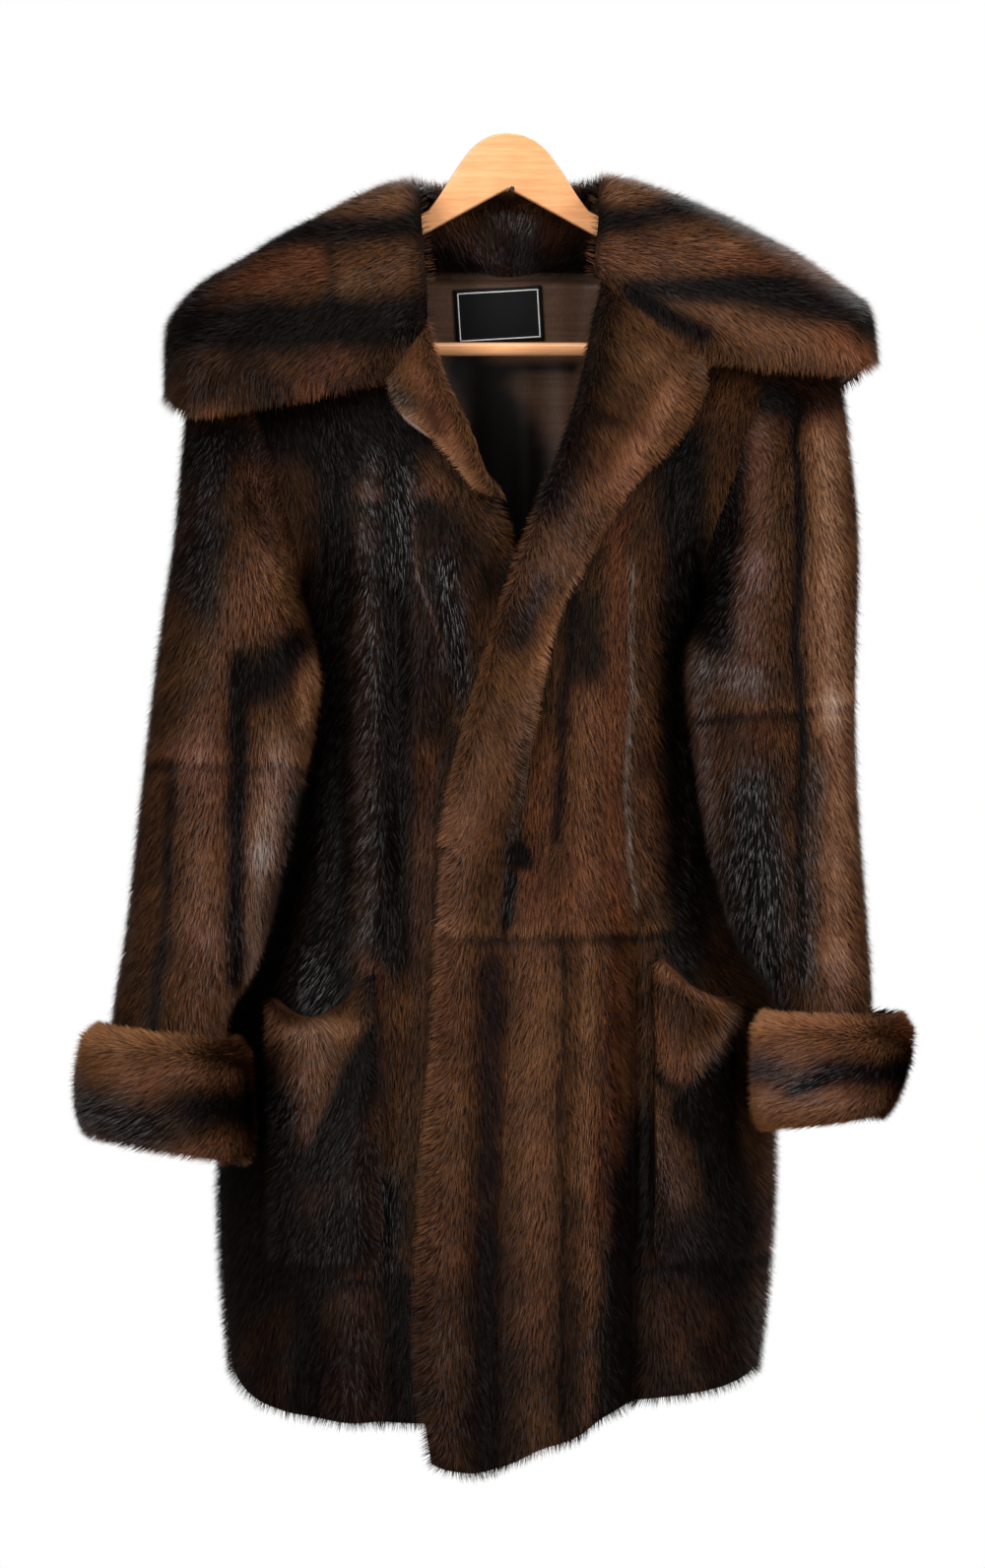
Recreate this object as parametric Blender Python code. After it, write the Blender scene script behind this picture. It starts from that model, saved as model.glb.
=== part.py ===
"""Long-haired mink coat with a cape collar, hanging on a wooden clothes hanger.

Every cloth piece is a wall of even thickness on both sides of a middle surface. The middle
surfaces come from short tables of sections, in millimetres; the meshes are made in metres.
+Z is up, -Y is the front of the coat, and the origin is the top of the hanger's crown.
Left and right are the wearer's, so the left front lies on the +X side.
"""
import math

import bpy
import numpy as np

MM = 0.001
SEAM_GAP = 0.3          # between two pieces that are sewn together or lie on each other
FUR = 9.0               # pelt and pile of the body, sleeves and pockets
COLLAR_FUR = 12.0       # pelt and pile of the collar, cuffs and lapels
SATIN = 1.5
LABEL_THICKNESS = 1.2
LAY_GAP = 0.8           # between a curved panel and what lies on it
ROLL_INSET = 1.5        # from a front's edge to the middle of its lapel's roll

# ---------------------------------------------------------------- driving dimensions
NECK_X = 68.0           # where the shoulder seam meets the neck
NECK_Z = -57.0
TIP_X = 214.0           # shoulder tip, the top of the armhole
TIP_Z = -133.5
UNDERARM_Z = -335.0
UNDERARM_Y = 5.0
ARMHOLE_DEPTH = 45.0    # half the armhole's width from front to back
NECKLINE_Z = -108.0     # middle of the back neckline
SIDE_POWER = 2.0        # how boxy the body is in plan

# The body below the underarm, by height: side seams and the depth of front and back.
SIDE = {
    "z":       (-335, -350, -420, -500, -600, -700, -780, -870, -960),
    "right_x": (-152, -148, -151, -161, -185, -210, -218, -216, -207),
    "left_x":  (142, 138, 140, 149, 172, 195, 200.5, 196, 185),
    "side_y":  (5, 6, 12, 18, 24, 28, 28, 25, 20),
    "front_y": (-63, -64, -68, -74, -82, -92, -100, -106, -110),
    "back_y":  (46, 46.5, 49, 53, 58, 66, 72, 78, 82),
}
# The yoke, from the shoulder seam (turn 0) down the armhole to the underarm (turn 1).
YOKE = {
    "turn":    (0, 0.06, 0.125, 0.25, 0.375, 0.5, 0.625, 0.75, 0.875, 1),
    "front_y": (0, -11, -19, -29, -38, -46, -53, -59, -62.4, -63),
    "back_y":  (0, 11, 18, 26, 31, 35.5, 39.5, 43.4, 45.6, 46),
    "neck_y":  (24, 24.8, 26, 29, 33, 37, 41, 44, 45.7, 46),
}
# Front edges, from the neck down the roll line of the lapel to the hem.
LEFT_EDGE = {
    "z": (-1010, -949, -799, -686, -536, -424, -296, -274, -236, -199, -146, -113, -80, -57),
    "x": (-63, -72, -70, -61, -50, -24, 17.5, 25, 40, 51, 62, 69, 70, 68),
}
RIGHT_EDGE = {
    "z": (-970, -800, -600, -424, -320, -289, -259, -214, -199, -161, -116, -80, -57),
    "x": (0, 4, 8, 10, 6, -3, -16, -35, -44, -57, -65, -70, -68),
}
# Hems, by width.
LEFT_HEM = {
    "x": (-77, -65, -35, -5, 22, 55, 72, 90, 138, 175, 190),
    "z": (-977, -996, -1010, -1006, -993, -980, -967, -960, -954, -947, -940),
}
RIGHT_HEM = {
    "x": (-212, -200, -170, -125, -80, 15),
    "z": (-940, -954, -968, -974, -975, -974),
}
BACK_HEM = {
    "x": (-212, -190, -100, 0, 100, 170, 190),
    "z": (-940, -954, -965, -969, -962, -950, -940),
}
# Folds: the line that each follows, the height that it stands out (or sinks in), half-width.
FRONT_FOLDS = (
    dict(x_top=-128, x_low=-122, z_top=-300, z_low=-612, height=-11, width=13),
    dict(x_top=-104, x_low=-98, z_top=-300, z_low=-612, height=8, width=11),
    dict(x_top=-84, x_low=-80, z_top=-320, z_low=-612, height=-7, width=9),
    dict(x_top=-176, x_low=-186, z_top=-885, z_low=-1100, height=8, width=20),
    dict(x_top=-146, x_low=-152, z_top=-885, z_low=-1100, height=-9, width=12),
    dict(x_top=-120, x_low=-126, z_top=-885, z_low=-1100, height=8, width=13),
    dict(x_top=-96, x_low=-98, z_top=-885, z_low=-1100, height=-8, width=11),
    dict(x_top=0, x_low=-10, z_top=-530, z_low=-1100, height=-8, width=15),
    dict(x_top=52, x_low=40, z_top=-430, z_low=-1100, height=8, width=22),
    dict(x_top=74, x_low=72, z_top=-560, z_low=-1100, height=10, width=12),
    dict(x_top=90, x_low=91, z_top=-560, z_low=-1100, height=-17, width=9),
    dict(x_top=122, x_low=128, z_top=-340, z_low=-612, height=-9, width=9),
    dict(x_top=148, x_low=146, z_top=-885, z_low=-1100, height=8, width=18),
)
BACK_FOLDS = (
    dict(x_top=-112, x_low=-150, z_top=-330, z_low=-1100, height=-9, width=20),
    dict(x_top=-70, x_low=-92, z_top=-300, z_low=-1100, height=7, width=26),
    dict(x_top=-24, x_low=-30, z_top=-420, z_low=-1100, height=-8, width=18),
    dict(x_top=22, x_low=30, z_top=-360, z_low=-1100, height=6, width=26),
    dict(x_top=72, x_low=88, z_top=-460, z_low=-1100, height=-9, width=19),
    dict(x_top=104, x_low=136, z_top=-330, z_low=-1100, height=7, width=22),
)
OVERLAP_TUCK = 13.0     # how far the under front sinks behind the upper one
TUCK_START = 46.0       # where that starts, before the upper front's edge
TUCK_END = 14.0

# Sleeves: outer and inner point, middle and half-depth of each ring, shoulder to wrist.
RIGHT_SLEEVE = {
    "outer_x": (-214, -224, -233, -239, -244, -249, -259, -268, -275.5, -284, -293, -301),
    "outer_z": (-133.5, -147, -168, -200, -250, -310, -380, -455, -525, -605, -665, -748),
    "inner_x": (-152, -158.5, -161, -158, -152.5, -149, -147, -156, -171, -192, -216, -209),
    "inner_z": (-335, -340, -350, -364, -380, -395, -430, -485, -550, -628, -678, -768),
    "mid_y":   (2.5, -2, -8, -17, -26, -33, -38, -42, -46, -52, -57, -60),
    "depth":   (45, 46, 47, 48, 48, 48, 47, 46, 46, 46, 46, 46),
}
LEFT_SLEEVE = {
    "outer_x": (214, 226, 239, 249, 255, 261, 259.5, 258, 260, 265.5, 269, 267.5),
    "outer_z": (-133.5, -145, -163, -192, -240, -310, -380, -440, -514, -590, -655, -737),
    "inner_x": (142, 149, 152, 149, 144, 139, 138.5, 144, 154, 175, 203.5, 202),
    "inner_z": (-335, -341, -351, -364, -381, -398, -430, -475, -540, -612, -658, -746),
    "mid_y":   (2.5, -2, -8, -17, -26, -33, -38, -42, -46, -52, -57, -60),
    "depth":   (45, 46, 47, 48, 49, 49, 48, 47, 46, 46, 46, 46),
}
# Creases of a sleeve: turn round the ring (0 outer side, 0.25 front), height range, depth.
SLEEVE_FOLDS = (
    dict(turn_top=0.27, turn_low=0.20, z_top=-330, z_low=-640, height=-8, width=0.035),
    dict(turn_top=0.72, turn_low=0.76, z_top=-360, z_low=-640, height=-7, width=0.04),
    dict(turn_top=0.40, turn_low=0.36, z_top=-380, z_low=-560, height=5, width=0.05),
)
RIGHT_CUFF = {
    "outer_x": (-316, -320, -318, -310),
    "outer_z": (-757, -730, -702, -677),
    "inner_x": (-198, -198, -199.5, -202.5),
    "inner_z": (-779, -748, -717, -688),
    "mid_y":   (-60, -60, -59, -58),
    "depth":   (57, 59, 60, 59),
}
LEFT_CUFF = {
    "outer_x": (281, 291, 297, 297),
    "outer_z": (-744, -720, -696, -670),
    "inner_x": (190.5, 189, 189, 191),
    "inner_z": (-753, -726, -697, -668),
    "mid_y":   (-60, -60, -59, -58),
    "depth":   (57, 59.5, 61.5, 61.5),
}
# The collar's fall, from the left-hand gorge (of the picture) round the back to the other.
# arch is 0 where it lies flat and 1 where it arches over the shoulder. It leaves the neck with
# a turn: aim is the way it goes in plan (0 to -x, 90 to +y, 180 to +x), lead the turn's length
# and bend its degrees.
COLLAR = {
    "neck_x": (-61, -62, -65, -67, -68, -54, -27, 0, 27, 54, 68, 68, 68, 66, 64),
    "neck_y": (-51, -47, -40, -21, 5, 21, 27, 29, 27, 21, 5, -18, -34, -42, -46),
    "neck_z": (-147, -114, -79, -50, -46, -53, -54, -54, -54, -52, -43, -47, -69, -91, -113),
    "edge_x": (-90, -160, -234, -257, -257, -244, -160, 0, 168, 260, 277, 276, 258, 205, 150),
    "edge_y": (-57, -74, -86, -50, 0, 46, 76, 80, 76, 46, 0, -50, -86, -78, -56),
    "edge_z": (-190, -208, -225, -214, -198, -222, -258, -266, -250, -196, -178, -184, -192,
               -186, -175),
    "arch":   (0, 0.6, 0.95, 1, 1, 1, 0.9, 0.85, 0.9, 1, 1, 1, 0.95, 0.6, 0),
    "aim":    (0, 0, 2, 8, 24, 56, 82, 90, 98, 124, 156, 172, 178, 180, 180),
    "lead":   (10, 10, 10, 11, 14, 18, 20, 20, 20, 18, 14, 11, 10, 10, 10),
    "bend":   (0, 0, 8, 25, 48, 80, 90, 90, 90, 80, 48, 25, 8, 0, 0),
}
STAND_COLUMNS = slice(10, 19)
LINING_TOP, LINING_FOOT = -110.5, -935.0
LINING_HALF_WIDTHS = (60, 100, 112, 150)
LINING_SHIFT = -6.0
LINING_SLACK = 11.0     # how far it hangs clear of the back's folds
# Lapels: heights down the roll line, which is the front's edge; outer edge; thickness.
LEFT_LAPEL = {
    "roll_z":  (-118.2, -150, -195, -240, -285, -340, -420, -500, -545),
    "outer_x": (149.5, 149, 127, 90, 56, 34, 22, 12, 2),
    "outer_z": (-175.5, -205, -240, -275, -330, -375, -430, -500, -545),
    "thick":   (12, 12, 12, 11, 10, 9, 8, 6, 3),
}
RIGHT_LAPEL = {
    "roll_z":  (-149.5, -180, -207, -232, -258, -278),
    "outer_x": (-89.3, -87, -76, -56, -36, -22),
    "outer_z": (-191.5, -204, -219, -234, -256, -274),
    "thick":   (12, 12, 12, 10, 8, 5),
}
# Pockets: corners of the patch, the sag of its mouth and the pouch that gapes from it.
RIGHT_POCKET = dict(inner_x=-97, outer_x=-174, inner_z=-628, outer_z=-652, sag=32,
                    foot_z=-858, pouch_x=-142, pouch_foot_x=-155, pouch_foot_z=-775,
                    gape=30, pouch_half=46)
LEFT_POCKET = dict(inner_x=105, outer_x=166, inner_z=-617, outer_z=-655, sag=14,
                   foot_z=-856, pouch_x=142, pouch_foot_x=130, pouch_foot_z=-765,
                   gape=30, pouch_half=44)

# Hanger: upper and lower outline by distance from the middle.
CROWN = {
    "x": (0, 14, 27, 41, 53, 61),
    "z": (0, -3, -11.5, -30, -49, -59.7),
}
HANGER_FOOT = {
    "x": (0, 10, 64, 110, 160, 189, 191, 206),
    "z": (-44, -46, -77.7, -101, -127, -142, -172, -172),
}
HANGER_HALF_THICKNESS = 5.2
BAR_RADIUS = 5.2
BAR_Z = -162.0
BAR_HALF_LENGTH = 189.6
LABEL_SIZE = (66.0, 42.0)
LABEL_CENTRE = (-7.0, -138.5)
LABEL_TILT = math.radians(3.4)

COLOURS = {
    "fur": (0.060, 0.030, 0.018),
    "satin": (0.055, 0.032, 0.022),
    "label": (0.008, 0.008, 0.009),
    "wood": (0.72, 0.42, 0.20),
}


# ---------------------------------------------------------------- curves and surfaces
def smooth(knots, values, where):
    """Values of a smooth curve through the table's rows, knots rising."""
    knots = np.asarray(knots, float)
    values = np.asarray(values, float)
    where = np.clip(np.asarray(where, float), knots[0], knots[-1])
    slopes = np.gradient(values, knots)
    cell = np.clip(np.searchsorted(knots, where, side="right") - 1, 0, len(knots) - 2)
    span = knots[cell + 1] - knots[cell]
    t = (where - knots[cell]) / span
    return ((2 * t**3 - 3 * t**2 + 1) * values[cell] + (t**3 - 2 * t**2 + t) * span * slopes[cell]
            + (3 * t**2 - 2 * t**3) * values[cell + 1] + (t**3 - t**2) * span * slopes[cell + 1])


def by_height(table, column, z):
    """A column of a table whose heights fall from row to row."""
    return smooth([-v for v in table["z"]], table[column], -np.asarray(z, float))


def step(start, end, x):
    t = np.clip((np.asarray(x, float) - start) / (end - start), 0, 1)
    return t * t * (3 - 2 * t)


def folds(table, x, z):
    """Height of the folds at x, z."""
    total = np.zeros_like(np.asarray(x, float) + np.asarray(z, float))
    for fold in table:
        along = np.clip((z - fold["z_top"]) / (fold["z_low"] - fold["z_top"]), 0, 1)
        centre = fold["x_top"] + (fold["x_low"] - fold["x_top"]) * along
        fade = step(fold["z_top"], fold["z_top"] - 70, z) * step(fold["z_low"], fold["z_low"] + 70, z)
        total = total + fold["height"] * fade * np.exp(-((x - centre) / fold["width"]) ** 2)
    return total


def normals(points, wrap=False):
    """Unit normals of a grid of points; wrap says that its columns close into a ring."""
    down = np.gradient(points, axis=0)
    if wrap:
        across = (np.roll(points, -1, axis=1) - np.roll(points, 1, axis=1)) / 2
    else:
        across = np.gradient(points, axis=1)
    cross = np.cross(across, down)
    return cross / np.maximum(np.linalg.norm(cross, axis=2, keepdims=True), 1e-9)


def unit(vectors):
    return vectors / np.maximum(np.linalg.norm(vectors, axis=-1, keepdims=True), 1e-9)


def side_x(hand, z):
    """x of the side seam, or of the armhole's line above the underarm."""
    sign = 1 if hand == "left" else -1
    underarm = SIDE[hand + "_x"][0]
    rise = (np.asarray(z, float) - UNDERARM_Z) / (TIP_Z - UNDERARM_Z)
    return np.where(rise > 0, underarm + (sign * TIP_X - underarm) * rise,
                    by_height(SIDE, hand + "_x", z))


def torso(face, start, edge, hem, fold_table, across, level):
    """Points of a body panel, a row for each level and a column for each step across.

    face is -1 for the front and 1 for the back. across runs 0..1 from the side seam named by
    start to the line edge(z); level runs 0..1 down the armhole and 1..2 on to the hem. The two
    ends are always worked out, since each row hangs between them.
    """
    across, level = np.meshgrid(np.concatenate([[0], across, [1]]), level)
    turn = np.clip(level, 0, 1)
    below = np.clip(level - 1, 0, 1)
    fall = (1 - np.cos(math.pi * turn)) / 2

    # Heights: down from the shoulder seam and the neckline, then on to the hem.
    tip = TIP_X if start == "left" else -TIP_X
    inner_end = -tip if face > 0 else math.copysign(NECK_X, tip)
    x_top = np.abs(tip + (inner_end - tip) * across)
    beside_neck = np.clip(x_top / NECK_X, 0, 1)
    slope = (TIP_Z - NECK_Z) / (TIP_X - NECK_X)
    z_top = NECK_Z + (np.maximum(x_top, NECK_X) - NECK_X) * slope
    if face > 0:
        z_top = z_top + (NECKLINE_Z - NECK_Z) * (1 - beside_neck**2)
    z = z_top + (UNDERARM_Z - z_top) * fall - 600 * below
    for _ in range(4):
        x_side = side_x(start, z[:, :1])
        x = x_side + (edge(z) - x_side) * across
        to_hem = UNDERARM_Z + (smooth(hem["x"], hem["z"], x) - UNDERARM_Z) * below
        z = np.where(level > 1, to_hem, z)
    x_side = side_x(start, z[:, :1])
    edge_x = np.where(level > 1, edge(z), edge(z[:, -1:]))
    x = x_side + (edge_x - x_side) * across

    # Depths: each row is part of an oval that runs through the armhole or the side seam.
    centre = np.where(level > 1, by_height(SIDE, "side_y", z[:, :1]), UNDERARM_Y * fall)
    column = "front_y" if face < 0 else "back_y"
    middle = smooth(YOKE["turn"], YOKE[column], turn)
    if face > 0:
        neck = smooth(YOKE["turn"], YOKE["neck_y"], turn)
        middle = neck + (middle - neck) * beside_neck**10
    middle = np.where(level > 1, by_height(SIDE, column, z), middle)
    armhole_y = centre + face * ARMHOLE_DEPTH * np.sin(math.pi * turn)
    depth = np.maximum(face * (middle[:, :1] - centre), 1e-6)
    cut = np.clip(face * (armhole_y - centre) / depth, 0, 0.94)
    oval = (1 - cut**SIDE_POWER) ** (1 / SIDE_POWER)
    half = np.where(x > 0, side_x("left", z[:, :1]), -side_x("right", z[:, :1]))
    if face < 0:
        half = np.abs(x_side)
    reach = np.clip(np.abs(x) / half * oval, 0, 1)
    bulge = (1 - reach**SIDE_POWER) ** (1 / SIDE_POWER)
    y = centre + (middle - centre) * bulge
    beside = np.minimum(across, 1 - across) if face > 0 else across
    miss = armhole_y - (centre + (middle[:, :1] - centre) * (1 - oval**SIDE_POWER) ** (1 / SIDE_POWER))
    y = y + miss * np.clip(1 - beside / 0.3, 0, 1) ** 2 + face * SEAM_GAP / 2
    y = y + face * folds(fold_table, x, z) * step(0, 0.4, bulge)
    return np.stack([x, y, z], axis=2)[:, 1:-1]


def left_edge(z):
    return smooth(LEFT_EDGE["z"], LEFT_EDGE["x"], z)


def right_edge(z):
    return smooth(RIGHT_EDGE["z"], RIGHT_EDGE["x"], z)


def front_left(across, level):
    return torso(-1, "left", left_edge, LEFT_HEM, FRONT_FOLDS, across, level)


def front_right(across, level):
    """The under front, sunk behind the upper one where they overlap."""
    points = torso(-1, "right", right_edge, RIGHT_HEM, FRONT_FOLDS, across, level)
    past_edge = points[..., 0] - left_edge(points[..., 2])
    points[..., 1] += OVERLAP_TUCK * step(-TUCK_START, -TUCK_END, past_edge)
    return points


def left_side(z):
    return side_x("left", z)


def back(across, level):
    return torso(1, "right", left_side, BACK_HEM, BACK_FOLDS, across, level)


def unfolded_back(across, level):
    return torso(1, "right", left_side, BACK_HEM, (), across, level)


def torso_normals(points, sign, both_sides):
    """Normals of a body panel; at a seam they lie in the plane that its neighbour shares."""
    normal = normals(points) * sign
    columns = (0, -1) if both_sides else (0,)
    for column in columns:
        hand = "left" if points[0, column, 0] > 0 else "right"
        side = 1 if hand == "left" else -1
        upper = np.array([side * TIP_X, 0.0, TIP_Z])
        lower = np.array([SIDE[hand + "_x"][0], 0.0, UNDERARM_Z])
        along = upper - lower
        length = np.linalg.norm(along)
        rise = (points[:, column, 2] - UNDERARM_Z) / (TIP_Z - UNDERARM_Z)
        cosine = np.clip(2 * rise - 1, -1, 1)
        sine = np.sqrt(1 - cosine**2) * (-1 if points[1, column, 1] < 0 else 1)
        ring = np.outer(cosine * 2 / length, along / length)
        ring[:, 1] = sine / ARMHOLE_DEPTH
        tangent = np.gradient(points[:, column], axis=0) * (1, 0, 1)
        seam = unit(np.cross(tangent, (0, side, 0)))
        normal[:, column] = unit(np.where((rise > -1e-6)[:, None], ring, seam))
        near = 1 if column == 0 else -2
        normal[:, near] = unit(0.65 * normal[:, near] + 0.35 * normal[:, column])
    across_shoulder = unit(normal[0] * (1, 0, 1))
    level_neck = unit(normal[0] * (1, 1, 0))
    beside_neck = step(0.77, 1, np.abs(points[0, :, 0]) / NECK_X)[:, None]
    top = unit(level_neck + (across_shoulder - level_neck) * beside_neck)
    keep_ends = slice(1, -1) if both_sides else slice(1, None)
    normal[0, keep_ends] = top[keep_ends]
    return normal


def on_panel(panel, x, z, sign):
    """Points and outward normals of a panel where it has the given x and z."""
    grid = panel(np.linspace(0, 1, 150), np.linspace(0, 2, 240))
    grid_normals = (normals(grid) * sign).reshape(-1, 3)
    grid = grid.reshape(-1, 3)
    miss = (grid[:, 0] - x[..., None]) ** 2 + (grid[:, 2] - z[..., None]) ** 2
    nearest = np.argmin(miss, axis=-1)
    normal = grid_normals[nearest]
    past = np.stack([x, 0 * x, z], axis=-1) - grid[nearest] * (1, 0, 1)
    y = grid[nearest][..., 1] - np.sum(past * normal, axis=-1) / normal[..., 1]
    return np.stack([x, y, z], axis=-1), normal


def sleeve(table, turn, level):
    """Points of a sleeve or cuff: turn 0..1 round each ring, level 0..1 down the rings."""
    turn, level = np.meshgrid(turn, level)
    ring = np.linspace(0, 1, len(table["depth"]))
    row = {name: smooth(ring, table[name], level) for name in table}
    angle = 2 * math.pi * turn
    x = (row["outer_x"] + row["inner_x"]) / 2 + (row["outer_x"] - row["inner_x"]) / 2 * np.cos(angle)
    z = (row["outer_z"] + row["inner_z"]) / 2 + (row["outer_z"] - row["inner_z"]) / 2 * np.cos(angle)
    y = row["mid_y"] - row["depth"] * np.sin(angle)
    armhole = np.clip(1 - level * (len(table["depth"]) - 1), 0, 1) if len(table["depth"]) > 4 else 0
    y = y - armhole * UNDERARM_Y / 2 * np.cos(angle)
    return np.stack([x, y, z], axis=2)


def creased(points, normal, turn):
    """A sleeve's points with its creases pressed in along the normals."""
    height = np.zeros(points.shape[:2])
    for fold in SLEEVE_FOLDS:
        along = np.clip((points[..., 2] - fold["z_top"]) / (fold["z_low"] - fold["z_top"]), 0, 1)
        centre = fold["turn_top"] + (fold["turn_low"] - fold["turn_top"]) * along
        fade = step(fold["z_top"] + 40, fold["z_top"] - 40, points[..., 2])
        fade = fade * step(fold["z_low"] - 40, fold["z_low"] + 40, points[..., 2])
        height += fold["height"] * fade * np.exp(-((turn[None, :] - centre) / fold["width"]) ** 2)
    return points + normal * height[..., None]


def collar_fall(station, fall):
    """Points of the collar: station 0..1 round the neck, fall -1..0 round the turn, 0..1 down."""
    station, fall = np.meshgrid(station, fall)
    place = np.linspace(0, 1, len(COLLAR["neck_x"]))
    row = {name: smooth(place, COLLAR[name], station) for name in COLLAR}
    neck = np.stack([row["neck_x"], row["neck_y"], row["neck_z"]], axis=2)
    edge = np.stack([row["edge_x"], row["edge_y"], row["edge_z"]], axis=2)
    arch = row["arch"][..., None]
    aim = np.radians(row["aim"])
    outward = np.stack([-np.cos(aim), np.sin(aim), 0 * aim], axis=2)
    outward = unit(outward * arch + unit(edge - neck) * (1 - arch))
    lead = row["lead"][..., None]
    bend = np.radians(np.maximum(row["bend"][..., None], 0.5))

    def before(angle):
        """How far out and up the collar has come when it still has this angle to turn."""
        return lead / bend * (outward * np.sin(angle) + np.array([0, 0, 1]) * (1 - np.cos(angle)))

    start = neck + before(bend)
    turning = start - before(np.clip(-fall, 0, 1)[..., None] * bend)
    down = np.clip(fall, 0, 1)[..., None]
    points = start + (edge - start) * down
    arc = 0.69 * down**1.3 + 0.31 * down**60
    arched = start[..., 2:] + (edge - start)[..., 2:] * arc
    points[..., 2:] += (arched - points[..., 2:]) * arch
    return np.where(fall[..., None] < 0, turning, points)


# ---------------------------------------------------------------- solids
def rimmed(points, normal, half, rows=(), columns=()):
    """The grid with rounded free edges: rows and columns name the ends (0 or -1) to round."""
    for axis, ends in ((0, rows), (1, columns)):
        for end in ends:
            grid = [np.swapaxes(a, 0, 1) if axis else a for a in (points, normal, half)]
            if end == 0:
                grid = [a[::-1] for a in grid]
            p, n, h = grid
            out = p[-1] - p[-2]
            out = unit(out - np.sum(out * n[-1], axis=-1, keepdims=True) * n[-1])
            new_p, new_n, new_h = [p], [n], [h]
            for degrees in (42, 75):
                angle = math.radians(degrees)
                new_p.append((p[-1] + out * h[-1][:, None] * math.sin(angle))[None])
                new_n.append(n[-1:])
                new_h.append(h[-1:] * math.cos(angle))
            grid = [np.concatenate(a) for a in (new_p, new_n, new_h)]
            if end == 0:
                grid = [a[::-1] for a in grid]
            points, normal, half = [np.swapaxes(a, 0, 1) if axis else a for a in grid]
    return points, normal, half


def material(name, roughness):
    made = bpy.data.materials.get(name) or bpy.data.materials.new(name)
    made.use_nodes = True
    shader = made.node_tree.nodes["Principled BSDF"]
    shader.inputs["Base Color"].default_value = (*COLOURS[name], 1)
    shader.inputs["Roughness"].default_value = roughness
    shader.inputs["Metallic"].default_value = 0.0
    return made


def add_object(name, vertices, faces, surface):
    mesh = bpy.data.meshes.new(name)
    mesh.from_pydata([tuple(v * MM) for v in vertices], [], faces)
    mesh.materials.append(surface)
    mesh.shade_smooth()
    made = bpy.data.objects.new(name, mesh)
    bpy.context.collection.objects.link(made)
    return made


def wall(name, surface, points, normal, half, outward=1, wrap=False):
    """A closed wall on both sides of a grid of points."""
    rows, columns = half.shape
    outer = (points + normal * half[..., None]).reshape(-1, 3)
    inner = (points - normal * half[..., None]).reshape(-1, 3)
    count = rows * columns
    steps = columns if wrap else columns - 1
    faces = []
    for r in range(rows - 1):
        for c in range(steps):
            a, b = r * columns + c, r * columns + (c + 1) % columns
            d, e = a + columns, b + columns
            faces.append((a, b, e, d))
            faces.append((count + a, count + d, count + e, count + b))
    for c in range(steps):
        a, b = c, (c + 1) % columns
        faces.append((count + a, count + b, b, a))
        a, b = a + count - columns, b + count - columns
        faces.append((a, b, count + b, count + a))
    if not wrap:
        for r in range(rows - 1):
            a, d = r * columns, (r + 1) * columns
            faces.append((a, d, count + d, count + a))
            a, d = a + columns - 1, d + columns - 1
            faces.append((count + a, count + d, d, a))
    if outward < 0:
        faces = [face[::-1] for face in faces]
    return add_object(name, np.concatenate([outer, inner]), faces, surface)


def half_of(thickness, points):
    return np.full(points.shape[:2], thickness / 2)


def columns(*stretches):
    """Places across a panel: each stretch is (from, to, steps)."""
    places = [np.linspace(start, end, steps, endpoint=False) for start, end, steps in stretches]
    return np.append(np.concatenate(places), 1.0)


def levels(upper, lower):
    """Levels of a body panel, closer together at the shoulder and under the armhole."""
    armhole = np.linspace(0, 1, upper)
    armhole = np.insert(armhole, 1, armhole[1] / 2)
    hanging = np.insert(np.linspace(0, 1, lower), 1, 0.026)
    return np.concatenate([armhole, 1 + hanging[1:]])


NECK_STEPS = NECK_X / TIP_X / 2
BACK_COLUMNS = columns((0, 0.05, 2), (0.05, 0.5 - NECK_STEPS, 5),
                       (0.5 - NECK_STEPS, 0.5 - 0.76 * NECK_STEPS, 3),
                       (0.5 - 0.76 * NECK_STEPS, 0.5 + 0.76 * NECK_STEPS, 8),
                       (0.5 + 0.76 * NECK_STEPS, 0.5 + NECK_STEPS, 3),
                       (0.5 + NECK_STEPS, 0.95, 5), (0.95, 1, 2))
BODY_ROWS = (8, 11)


def make_body(fur):
    points = front_left(columns((0, 0.06, 2), (0.06, 0.32, 5), (0.32, 0.48, 7), (0.48, 1, 8)),
                        levels(*BODY_ROWS))
    normal = torso_normals(points, 1, False)
    grid = rimmed(points, normal, half_of(FUR, points), rows=(-1,), columns=(-1,))
    wall("front_left", fur, *grid)

    points = front_right(columns((0, 0.06, 2), (0.06, 0.66, 11), (0.66, 1, 4)), levels(*BODY_ROWS))
    normal = torso_normals(points, -1, False)
    grid = rimmed(points, normal, half_of(FUR, points), rows=(-1,), columns=(-1,))
    wall("front_right", fur, *grid, outward=-1)

    points = back(BACK_COLUMNS, levels(*BODY_ROWS))
    normal = torso_normals(points, 1, True)
    grid = rimmed(points, normal, half_of(FUR, points), rows=(-1,))
    wall("back", fur, *grid)


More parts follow.
